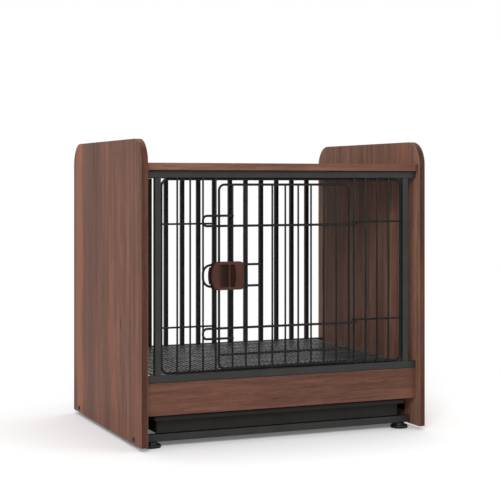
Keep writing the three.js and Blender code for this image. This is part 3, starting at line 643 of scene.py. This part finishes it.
def makeBoard(node, axis, materials, radii=0, ease=board["boardEase"]):
    low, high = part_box(node)
    outline = section(low, high, axis, radii, board["steps"])
    piece = easedSlab(pieceName(node), outline, low[axis], high[axis], ease, along(axis), materials)
    dress(piece, "carcass", "wood", node)


panelRadii = (board["panelFoot"],) * 2 + (board["panelCorner"],) * 2
for side in sides:
    materials = (finish["panel" + side.title()], finish["panelEdge"])
    makeBoard(f"side_panel_{side}", 0, materials, panelRadii, board["panelEase"])
makeBoard("table_top", 2, (finish["top"], finish["topEdge"]))
makeBoard("front_apron", 1, (finish["apron"],) * 2)
print("boards ready")


# Square tubes

tube = {"corner": 0.0016, "cornerSteps": 5, "endEase": 0.0006, "railHalf": 0.3097,
        "bore": 0.0045, "boreFrom": -0.002, "boreTo": 0.0145}


def squareTube(name, low, high, axis):
    ease = tube["endEase"]
    outline = section(low, high, axis, tube["corner"], tube["cornerSteps"])
    levels = ((ease, low[axis]), (0, low[axis] + ease), (0, high[axis] - ease), (ease, high[axis]))
    piece = meshPiece(name, *loft(insetRings(outline, levels, along(axis))), finish["steel"])
    faceOutwards(piece)
    return piece


tubes = {f"{place}_{height}_rail": 0 for height in ("top", "mid", "bottom") for place in ("front", "rear")}
tubes.update({f"front_post_{side}": 2 for side in sides})
tubes.update({f"floor_bearer_{side}": 1 for side in sides})
for node, axis in tubes.items():
    low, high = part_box(node)
    if axis == 0:  # a rail's box takes in its pins
        low.x, high.x = -tube["railHalf"], tube["railHalf"]
    piece = squareTube(pieceName(node), low, high, axis)
    if "bottom" in node:
        for side in sides:
            foot = span(f"foot_{node.split('_')[0]}_{side}")[2]
            ends = [Vector((foot.x, foot.y, low.z + tube[end])) for end in ("boreFrom", "boreTo")]
            carve(piece, *sweep(ends, tube["bore"], 24, domed=False))
    weightNormals(piece)
    dress(piece, "carcass", "steel", node)
print("tubes ready")

bars = [f"rear_bar_{index:02d}" for index in range(1, 15)]
low, high, middle = span(bars[0])
barPitch = span(bars[1])[2].x - middle.x
rearBars = squareTube("rearBars", low, high, 2)
weightNormals(rearBars)
repeat(rearBars, len(bars), (barPitch, 0, 0))
dress(rearBars, "carcass", "steel", *bars)


# Wire front. Each wire is swept along the middle of its bends.

wires = {
    "thin": 0.0020, "thick": 0.0025, "sides": 14, "beadRound": 0.0017,
    "frameY": -0.2280, "frameLeft": -0.2752, "frameRight": 0.2752, "frameLow": 0.1528, "frameHigh": 0.5467,
    "frameBend": 0.015, "uprightY": -0.2333, "uprightLow": 0.1503, "uprightHigh": 0.5492,
    "nearest": 0.159, "gap": 0.028, "count": 4,
    "crossY": -0.2300, "crossEnds": (0.1570, 0.2724), "crossHeights": (0.4555, 0.2452),
    "doorY": -0.2339, "doorLeft": -0.1521, "doorRight": 0.1464, "doorLow": 0.157, "doorHigh": 0.5355,
    "doorBend": 0.012, "doorUprightY": -0.2344, "doorPitch": 0.02985, "doorCount": 9, "doorBeadIn": 0.0004,
    "frontY": -0.2382, "thirdHeight": 0.186, "hooks": (0.4506, 0.2403), "loopRise": 0.021,
    "loopEnd": -0.12225, "loopSide": -0.189, "loopBend": 0.009, "hookSide": 0.167487, "hookBend": 0.0049,
    "hookTurn": (0.16149, -0.22782), "hookTurnBend": 0.0035, "hookTail": 0.021,
    "guideEnd": -0.06255, "guideHigh": 0.3706, "guideLow": 0.3266, "guideBend": 0.017,
}


def wirePiece(name, radius, runs, closed=False):
    points, faces = [], []
    for corners in runs:
        path = roundedPath(corners)
        runPoints, runFaces = sweep(path[1:-1] if closed else path, radius, wires["sides"], closed=closed)
        faces += [[index + len(points) for index in face] for face in runFaces]
        points += runPoints
    piece = meshPiece(name, points, faces, finish["wire"])
    faceOutwards(piece, 1e-7)
    smooth(piece, 50)
    return piece


def ringWire(name, key):
    ends = ("Left", "Right", "Low", "High", "Y", "Bend")
    left, right, low, high, y, bend = (wires[key + end] for end in ends)
    middle = (left + right) / 2
    corners = [(middle, y, low, 0), (right, y, low, bend), (right, y, high, bend), (left, y, high, bend),
               (left, y, low, bend), (middle, y, low, 0)]
    return wirePiece(name, wires["thick"], [corners], closed=True)


# Uprights in a row, with a weld bead wherever one crosses another wire
def uprightRow(name, start, low, high, y, count, pitch, crossings):
    piece = wirePiece(name, wires["thin"], [[(start, y, low), (start, y, high)]])
    shape = bmesh.new()
    shape.from_mesh(piece.data)
    for crossY, height in crossings:
        at = Matrix.Translation((start, (y + crossY) / 2, height)) @ Matrix.Diagonal((1.25, 1.0, 1.25, 1))
        bmesh.ops.create_uvsphere(shape, u_segments=10, v_segments=6, radius=wires["beadRound"], matrix=at)
    shape.to_mesh(piece.data)
    shape.free()
    smooth(piece, 50)
    repeat(piece, count, (pitch, 0, 0))
    return piece


dress(ringWire("frontFrameWire", "frame"), "carcass", "wire", "front_wire_frame")

crossings = [(wires["frameY"], wires["frameLow"]), (wires["frameY"], wires["frameHigh"])]
crossings += [(wires["crossY"], height) for height in wires["crossHeights"]]
farthest = wires["nearest"] + (wires["count"] - 1) * wires["gap"]
for side, way, start in (("left", -1, -farthest), ("right", 1, wires["nearest"])):
    uprights = uprightRow("grilleUprights" + side.title(), start, wires["uprightLow"], wires["uprightHigh"],
                          wires["uprightY"], wires["count"], wires["gap"], crossings)
    dress(uprights, "carcass", "wire", f"front_grille_{side}")
    runs = [[(way * end, wires["crossY"], height) for end in wires["crossEnds"]]
            for height in wires["crossHeights"]]
    dress(wirePiece("grilleCrossWires" + side.title(), wires["thin"], runs), "carcass", "wire")

dress(ringWire("doorFrameWire", "door"), "door_leaf", "wire", "door")

front, third = wires["frontY"], wires["thirdHeight"]
low, high, pitch = wires["doorLow"], wires["doorHigh"], wires["doorPitch"]
crossings = [(wires["doorY"], low + wires["doorBeadIn"]), (wires["doorY"], high - wires["doorBeadIn"])]
crossings += [(front, height) for height in (third,) + wires["hooks"]]
uprights = uprightRow("doorUprights", wires["doorLeft"] + pitch, low, high, wires["doorUprightY"],
                      wires["doorCount"], pitch, crossings)
dress(uprights, "door_leaf", "wire")

turnX, turnY = wires["hookTurn"]
runs = [[(wires["doorLeft"], front, third), (wires["doorRight"], front, third)]]
for height, way in zip(wires["hooks"], (1, -1)):
    loopHeight = height + way * wires["loopRise"]
    runs.append([
        (wires["loopEnd"], front, loopHeight),
        (wires["loopSide"], front, loopHeight, wires["loopBend"]),
        (wires["loopSide"], front, height, wires["loopBend"]),
        (wires["hookSide"], front, height, wires["hookBend"]),
        (turnX, turnY, height, wires["hookTurnBend"]),
        (turnX, turnY, height - wires["hookTail"]),
    ])
runs.append([
    (wires["guideEnd"], front, wires["guideHigh"]),
    (wires["loopSide"], front, wires["guideHigh"], wires["guideBend"]),
    (wires["loopSide"], front, wires["guideLow"], wires["guideBend"]),
    (wires["guideEnd"], front, wires["guideLow"]),
])
dress(wirePiece("doorCrossWires", wires["thick"], runs), "door_leaf", "wire")
print("wires ready")


# Slotted floor: a cell with its slot, grown over a grid and thickened

cage = {
    "columns": 52, "rows": 7, "pitchX": 0.01065, "pitchY": 0.0597, "slotWide": 0.0054, "slotDeep": 0.0545,
    "slotSteps": 8, "fieldTop": 0.1486, "fieldThick": 0.0022, "merge": 0.00002,
    "rimWide": 0.013, "rimRound": 0.0010, "corner": 0.028, "cornerSteps": 16,
}


def makeFieldTree():
    tree, given, out = growTree("slottedField", {
        "Columns": "Int", "Rows": "Int", "Pitch X": "Float", "Pitch Y": "Float", "Thickness": "Float",
        "Material": "Material"})
    reaches = [times(tree, given["Pitch " + axis], math2(tree, "SUBTRACT", given[count], 1.0))
               for axis, count in (("X", "Columns"), ("Y", "Rows"))]
    grid = add(tree, "MeshGrid", {"Size X": reaches[0], "Size Y": reaches[1],
                                  "Vertices X": given["Columns"], "Vertices Y": given["Rows"]})
    cells = add(tree, "InstanceOnPoints", {"Points": grid, "Instance": given["Geometry"]})
    real = add(tree, "RealizeInstances", {0: cells})
    sheet = add(tree, "MergeByDistance", {"Geometry": real, "Distance": cage["merge"]})
    down = put(tree, "ShaderNodeCombineXYZ", {"Z": times(tree, given["Thickness"], -1.0)}).outputs[0]
    sockets = {"Mesh": sheet, "Offset": down, "Offset Scale": 1.0, "Individual": False}
    lower = add(tree, "ExtrudeMesh", sockets)
    both = put(tree, "GeometryNodeJoinGeometry")
    for half in (lower, sheet):
        feed(both.inputs[0], half)
    solid = add(tree, "MergeByDistance", {"Geometry": both.outputs[0], "Distance": cage["merge"]})
    feed(out["Geometry"], add(tree, "SetMaterial", {"Geometry": solid, "Material": given["Material"]}))
    return tree


def slotCell():
    halfX, halfY, half = cage["pitchX"] / 2, cage["pitchY"] / 2, cage["slotWide"] / 2
    straight = cage["slotDeep"] / 2 - half
    border = [(-halfX, -halfY), (0, -halfY), (halfX, -halfY), (halfX, halfY), (0, halfY), (-halfX, halfY)]
    ends = ((straight, 0), (-straight, math.pi))
    hole = [point for y, start in ends for point in cornerArc(0, y, half, start, math.pi, cage["slotSteps"])]
    shape = bmesh.new()
    for outline in (border, hole):
        ring = [shape.verts.new((x, y, 0)) for x, y in outline]
        for index in range(len(ring)):
            shape.edges.new((ring[index - 1], ring[index]))
    bmesh.ops.triangle_fill(shape, use_beauty=True, use_dissolve=False, edges=shape.edges[:],
                            normal=(0, 0, 1))
    mesh = bpy.data.meshes.new("slotCell")
    shape.to_mesh(mesh)
    shape.free()
    return addObject("floorField", mesh)


low, high, middle = span("floor_grid")
field = slotCell()
grow(field, makeFieldTree(), {
    "Columns": cage["columns"], "Rows": cage["rows"], "Pitch X": cage["pitchX"], "Pitch Y": cage["pitchY"],
    "Thickness": cage["fieldThick"], "Material": finish["floor"],
})
field.data.transform(Matrix.Translation((middle.x, middle.y, cage["fieldTop"])))
faceOutwards(field, 1e-7)
dress(field, "carcass", "floor", "floor_grid")

ease = cage["rimRound"]
outline = section(low, high, 2, cage["corner"], cage["cornerSteps"])
profile = [(ease, low.z), (0, low.z + ease)]
profile += [(ease * (1 - math.cos(a)), high.z - ease * (1 - math.sin(a))) for a in (0, 0.5, 1.05, quarter)]
profile += [(cage["rimWide"] - reach, level) for reach, level in reversed(profile)]
rings = insetRings(outline, profile, along(2))
dress(lofted("floorRim", rings, finish["floor"], 50, closed=True), "carcass", "floor")
print("floor ready")


# Tray, lofted from ring to ring: up the inside, over the rim and its lip, down the outside

trayShape = {
    "wallLow": (-0.280, -0.2093), "wallHigh": (0.280, 0.2102), "corner": 0.004, "rimCorner": 0.005,
    "cavity": 0.0020, "draft": 0.0002, "floorThick": 0.0020, "floorRound": 0.0014, "lipThick": 0.0018,
    "lipDeep": 0.009, "lipEase": 0.0005, "under": 0.0020, "underEase": 0.0015, "edge": 0.0008,
    "ribCount": 7, "ribPitch": 0.052, "ribWide": 0.0050, "ribHigh": 0.0016, "ribTaper": 0.55, "ribIn": 0.02,
    "ribEase": 0.0005,
}


def outlineRings(low, high, corner):
    def ring(grow, level):
        outline = roundedRect(low.x - grow, low.y - grow, high.x + grow, high.y + grow, corner + grow, 10)
        return [(x, y, level) for x, y in outline]

    return ring


def makeTray():
    low, high, middle = span("tray")
    shape = trayShape
    wallLow, wallHigh = Vector(shape["wallLow"]), Vector(shape["wallHigh"])
    wall, rim = outlineRings(wallLow, wallHigh, shape["corner"]), outlineRings(low, high, shape["rimCorner"])
    floorTop, top, bottom = low.z + shape["floorThick"], high.z, low.z
    inside, turn, edge = -shape["cavity"], shape["floorRound"], shape["edge"]
    base, lip, ease = inside - shape["draft"], shape["lipThick"], shape["lipEase"]
    lipLow, under = top - shape["lipDeep"], shape["under"]
    angles = [quarter * step / 5 for step in range(6)]
    arc = [(1 - math.sin(a), 1 - math.cos(a)) for a in angles]
    rings = [wall(base - turn * s, floorTop + turn * c) for s, c in arc]
    rings += [wall(inside + edge * c, top - edge * s) for s, c in arc]
    rings += [rim(-lip * s, top - lip * c) for s, c in arc]
    rings += [rim(0, lipLow + ease), rim(-ease, lipLow), rim(ease - lip, lipLow), rim(-lip, lipLow + ease)]
    rings += [rim(-lip, top - lip - under), rim(-lip - under, top - lip)]
    rings += [wall(shape["underEase"], top - lip), wall(0, top - lip - shape["underEase"])]
    rings += [wall(-turn * c, bottom + turn * s) for s, c in arc]
    dress(lofted("tray", rings, finish["tray"], 40), "tray", "tray", "tray")

    half, ribHigh = shape["ribWide"] / 2, shape["ribHigh"]
    crest = half * shape["ribTaper"]
    outline = [(-half, 0), (half, 0), (crest, ribHigh), (-crest, ribHigh)]
    start = middle.y - shape["ribPitch"] * (shape["ribCount"] - 1) / 2
    ribs = easedSlab("trayRibs", outline, wallLow.x + shape["ribIn"], wallHigh.x - shape["ribIn"],
                     shape["ribEase"], lambda u, v, w: (w, start + u, floorTop + v), (finish["tray"],))
    repeat(ribs, shape["ribCount"], (0, shape["ribPitch"], 0))
    dress(ribs, "tray", "tray")


makeTray()


# Turned pieces. A profile is a list of radii and heights.

def lathe(name, profile, sides, material, shape=None):
    angles = [2 * math.pi * k / sides for k in range(sides)]
    rings = []
    for level, (radius, height) in enumerate(profile):
        reach = [shape(level, radius, height, angle) if shape else radius for angle in angles]
        rings.append([(far * math.cos(a), far * math.sin(a), height) for far, a in zip(reach, angles)])
    return lofted(name, rings, material, 35, 1e-7)


footShape = {
    "pad": 0.019, "padHigh": 0.0070, "padRound": 0.0025, "collar": 0.011, "collarTop": 0.0112,
    "collarRound": 0.0008, "stem": 0.0040, "stemTop": 0.0245, "stemEase": 0.0008, "threadPitch": 0.00125,
    "threadSteps": 8, "threadDeep": 0.00045, "sides": 48, "grips": 24, "gripDeep": 0.00035,
}


def makeFoot(node):
    middle = span(node)[2]
    shape = footShape
    pad, top, turn = shape["pad"], shape["padHigh"], shape["padRound"]
    profile = [(0.0125, 0.0006), (0.0135, 0), (pad - 0.0008, 0), (pad - 0.0002, 0.0003), (pad, 0.0009)]
    profile += cornerArc(pad - turn, top - turn, turn, 0, quarter, 4)
    collar, crown, ease = shape["collar"], shape["collarTop"], shape["collarRound"]
    profile += [(collar + 0.0012, top), (collar + 0.0003, top + 0.0003), (collar, top + 0.0010)]
    collarFrom = len(profile) - 1
    profile += cornerArc(collar - ease, crown - ease, ease, 0, quarter, 4)
    collarTo = len(profile) - 2
    stem, threaded = shape["stem"], shape["stemTop"] - shape["stemEase"] - crown
    profile += [(stem + 0.0006, crown), (stem - 0.0002, crown - 0.0002)]
    threadFrom = len(profile)
    count = math.ceil(threaded / (shape["threadPitch"] / shape["threadSteps"]))
    profile += [(stem, crown + threaded * step / count) for step in range(1, count + 1)]
    threadTo = len(profile) - 1
    profile += [(stem - shape["stemEase"], shape["stemTop"])]

    def reach(level, radius, height, angle):
        if collarFrom <= level <= collarTo:
            return radius - shape["gripDeep"] * (0.5 - 0.5 * math.cos(shape["grips"] * angle)) ** 2
        if threadFrom <= level <= threadTo:
            phase = (height / shape["threadPitch"] - angle / (2 * math.pi)) % 1
            return radius - shape["threadDeep"] * abs(2 * phase - 1)
        return radius

    piece = lathe(pieceName(node), profile, shape["sides"], finish["foot"], reach)
    piece.data.transform(Matrix.Translation((middle.x, middle.y, 0)))
    dress(piece, node, "foot", node)


# Turns a bolt or screw from +Z to the way its head faces, and seats it at that end of its node's box
def seatAcross(piece, node, way, tall):
    low, high, middle = span(node)
    end = (high.x if way > 0 else low.x) - way * tall
    turned = Matrix.Rotation(way * quarter, 4, "Y")
    piece.data.transform(Matrix.Translation((end, middle.y, middle.z)) @ turned)


boltShape = {"head": 0.0050, "high": 0.0024, "socket": 0.0016, "deep": 0.0013, "shank": 0.0030, "sides": 36}


def makeBolt(node, way):
    low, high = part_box(node)
    shape = boltShape
    head, tall, socket, shank = shape["head"], shape["high"], shape["socket"], shape["shank"]
    floor = tall - shape["deep"]
    profile = [(socket * 0.5, floor - 0.0003), (socket, floor), (socket, tall - 0.0001),
               (socket + 0.0003, tall), (0.0031, tall - 0.00005), (0.0040, tall - 0.0005),
               (0.0047, tall - 0.0012), (head, tall - 0.0018), (head, 0.0001), (head - 0.0001, 0),
               (shank, 0), (shank, tall - (high.x - low.x))]

    def reach(level, radius, height, angle):  # a hexagon where the socket is
        return radius / math.cos(angle % (math.pi / 3) - math.pi / 6) if level < 3 else radius

    piece = lathe(pieceName(node), profile, shape["sides"], finish["bolt"], reach)
    seatAcross(piece, node, way, tall)
    dress(piece, "carcass", "steel", node)


screwShape = {"head": 0.0035, "high": 0.0016, "shank": 0.00175, "cross": 0.0022, "slot": 0.0005,
              "deep": 0.0009, "taper": 0.6, "sides": 32}


def makeScrew(node, way):
    low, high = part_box(node)
    shape = screwShape
    head, tall, shank, taper = shape["head"], shape["high"], shape["shank"], shape["taper"]
    profile = [(0.0004, tall), (0.0014, tall - 0.00003), (0.0026, tall - 0.0003), (0.0032, tall - 0.0008),
               (head, tall - 0.0013), (head, 0), (shank, 0), (shank, tall - (high.x - low.x))]
    piece = lathe(pieceName(node), profile, shape["sides"], finish["zinc"])
    arm, slot = shape["cross"], shape["slot"]
    outline = [(-arm, -slot), (-slot, -slot), (-slot, -arm), (slot, -arm), (slot, -slot), (arm, -slot),
               (arm, slot), (slot, slot), (slot, arm), (-slot, arm), (-slot, slot), (-arm, slot)]
    carve(piece, *loft([[(x * taper, y * taper, tall - shape["deep"]) for x, y in outline],
                        [(x, y, tall + 0.0004) for x, y in outline]]))
    smooth(piece, 35)
    seatAcross(piece, node, way, tall)
    dress(piece, "carcass", "zinc", node)


# Tray runners: one bent strip, with a stop turned up at the rear

runner = {"thick": 0.0020, "webLow": 0.0347, "legTop": 0.0567, "innerHalf": 0.284, "outerHalf": 0.3097,
          "bend": 0.0030, "bendSteps": 6, "ease": 0.0003, "stopIn": 0.001,
          "stopRadii": (0.0005, 0.0005, 0.002, 0.002)}


def makeRunner(node, way):
    low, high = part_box(node)
    thick, bend, steps = runner["thick"], runner["bend"], runner["bendSteps"]
    inner, outer, top, foot = runner["innerHalf"], runner["outerHalf"], runner["legTop"], runner["webLow"]
    angle = [(outer - thick, foot), (outer, foot)]
    angle += cornerArc(outer - bend, top - bend, bend, 0, quarter, steps)
    angle += [(inner, top), (inner, top - thick)]
    angle += cornerArc(outer - bend, top - bend, bend - thick, quarter, -quarter, steps)
    stop = roundedRect(inner, top - runner["stopIn"], outer, high.z, runner["stopRadii"], 5)
    name = pieceName(node)
    for made, outline, start, nodes in ((name, angle, low.y, (node,)),
                                        (name.replace("Runner", "Stop"), stop, high.y - thick, ())):
        piece = easedSlab(made, outline, start, high.y, runner["ease"], lambda u, v, w: (way * u, w, v),
                          (finish["bolt"],))
        dress(piece, "carcass", "steel", *nodes)


for side, way in zip(sides, (-1, 1)):
    for place in ("front", "rear"):
        makeFoot(f"foot_{place}_{side}")
        makeBolt(f"panel_bolt_{place}_{side}", way)
        makeScrew(f"runner_screw_{place}_{side}", -way)
    makeRunner(f"tray_runner_{side}", way)
print("turned pieces ready")


# Latch: a front drawn as a field of depths, with walls back to the wires

latch = {
    "left": -0.1775, "right": -0.1055, "middle": 0.3486, "halfHigh": 0.02875,
    "back": -0.2367, "front": -0.2563, "backSlack": 0.002, "endSlack": 0.004,
    "sideSweep": 0.009, "sideRound": 0.0085, "edgeRound": 0.0028, "cornerRound": 0.0050, "crown": 0.0018,
    "leastThick": 0.004, "scoopStart": -0.172, "scoopEnd": -0.1455, "scoopPower": 1.5,
    "pocketRight": -0.1225, "pocketBow": 0.0045, "pocketDeep": 0.0072, "pocketHalf": 0.0240,
    "pocketEase": 0.0022, "pocketEnds": 0.0032, "ridge": -0.1368, "ridgeFlat": 0.0006, "ridgeHalf": 0.0042,
    "ridgeDrop": 0.0006, "channel": 0.0028, "channelSlack": 0.0012, "channelDeep": 0.0080,
    "channelRound": 0.0018, "guideHalf": 0.022, "neck": (-0.1493, -0.1433), "tongueTip": -0.1723,
    "tongueFront": -0.2307, "tongueBack": -0.2277, "tongueHalf": 0.012, "tongueEase": 0.0005,
}


def eased(value, start, end):
    share = np.clip((value - start) / (end - start), 0, 1)
    return share * share * (3 - 2 * share)


def roundDrop(distance, radius):
    within = np.clip(radius - distance, 0, radius)
    return radius - np.sqrt(radius * radius - within * within)


def latchField():
    shape = latch
    half, bend, ridgeAt = shape["halfHigh"], shape["cornerRound"], shape["ridge"]
    ends = (1 - np.cos(np.linspace(0, math.pi, 57))) / 2
    share = np.sort(np.concatenate([ends, np.linspace(0.30, 0.86, 60)]))  # finer over the pocket
    rows = half * np.sin(np.linspace(-quarter, quarter, 61))
    tall, wide = np.meshgrid(rows, share, indexing="ij")
    fromMiddle = np.abs(tall)
    leftEdge = shape["left"] + shape["sideSweep"] * (fromMiddle / half) ** 2.4
    corner = np.clip(fromMiddle - (half - bend), 0, bend)
    rightEdge = shape["right"] - (bend - np.sqrt(bend ** 2 - corner ** 2))
    across = leftEdge + (rightEdge - leftEdge) * wide
    bow = (across - shape["left"]) / (shape["right"] - shape["left"]) * 2 - 1
    depth = shape["crown"] * bow ** 2
    depth += roundDrop(across - leftEdge, shape["sideRound"])
    depth += roundDrop(rightEdge - across, shape["edgeRound"])
    depth += roundDrop(half - fromMiddle, shape["edgeRound"])
    scoop = eased(across, shape["scoopStart"], shape["scoopEnd"]) ** shape["scoopPower"]
    wallAt = shape["pocketRight"] - shape["pocketBow"] * (tall / half) ** 2
    wall = 1 - eased(across, wallAt - shape["pocketEase"], wallAt)
    hollow = shape["pocketDeep"] * scoop * wall * (0.82 + 0.18 * (1 - eased(across, ridgeAt, wallAt)))
    ridge = 1 - eased(np.abs(across - ridgeAt), shape["ridgeFlat"], shape["ridgeHalf"])
    hollow = hollow * (1 - ridge) + np.minimum(hollow, shape["ridgeDrop"]) * ridge
    depth += hollow * (1 - eased(fromMiddle, shape["pocketHalf"] - shape["pocketEnds"], shape["pocketHalf"]))
    depth = np.minimum(depth, shape["back"] - shape["front"] - shape["leastThick"])
    return np.stack([across, shape["front"] + depth, shape["middle"] + tall], axis=-1)


def makeLatch():
    shape = latch
    field = latchField()
    index = np.arange(field[..., 0].size).reshape(field.shape[:2])
    corners = (index[:-1, :-1], index[:-1, 1:], index[1:, 1:], index[1:, :-1])
    points = field.reshape(-1, 3).tolist()
    faces = np.stack(corners, axis=-1).reshape(-1, 4).tolist()
    border = np.concatenate([index[0], index[1:, -1], index[-1, -2::-1], index[-2:0:-1, 0]]).tolist()
    start, count = len(points), len(border)
    points += [(points[k][0], shape["back"], points[k][2]) for k in border]
    faces += [(border[k], border[(k + 1) % count], start + (k + 1) % count, start + k) for k in range(count)]
    faces.append(tuple(range(start, start + count)))
    piece = meshPiece("latchSlider", points, faces, finish["latch"])
    faceOutwards(piece, 2e-6)
    nearer = shape["guideHalf"] - shape["channel"] - shape["channelSlack"]
    further, bend = shape["guideHalf"] + shape["channel"], shape["channelRound"]
    for way in (1, -1):  # the channels for the guide's legs
        lower, upper = sorted((shape["middle"] + way * nearer, shape["middle"] + way * further))
        outline = roundedRect(shape["back"] - shape["channelDeep"], lower, shape["back"] + shape["backSlack"],
                              upper, (bend, 0, 0, bend), 6)
        ends = (shape["left"] - shape["endSlack"], shape["right"] + shape["endSlack"])
        carve(piece, *loft([[(x, y, z) for y, z in outline] for x in ends]))
    smooth(piece, 32)
    dress(piece, "latch", "latch", "latch_slider")

    neckLeft, neckRight = shape["neck"]
    tip, toFront, toBack = shape["tongueTip"], shape["tongueFront"], shape["tongueBack"]
    outline = [(neckLeft, shape["back"] - 0.001), (neckRight, shape["back"] - 0.001), (neckRight, toBack),
               (tip, toBack), (tip + 0.0012, toFront), (neckLeft, toFront)]
    low, high = shape["middle"] - shape["tongueHalf"], shape["middle"] + shape["tongueHalf"]
    tongue = easedSlab("latchTongue", outline, low, high, shape["tongueEase"], along(2), (finish["latch"],))
    dress(tongue, "latch", "latch")


makeLatch()
print("latch ready")


# The dowels stay as packed, in raw beech

for node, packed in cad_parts.items():
    if "dowel" in node:
        packed.data.materials.clear()
        packed.data.materials.append(finish["beech"])
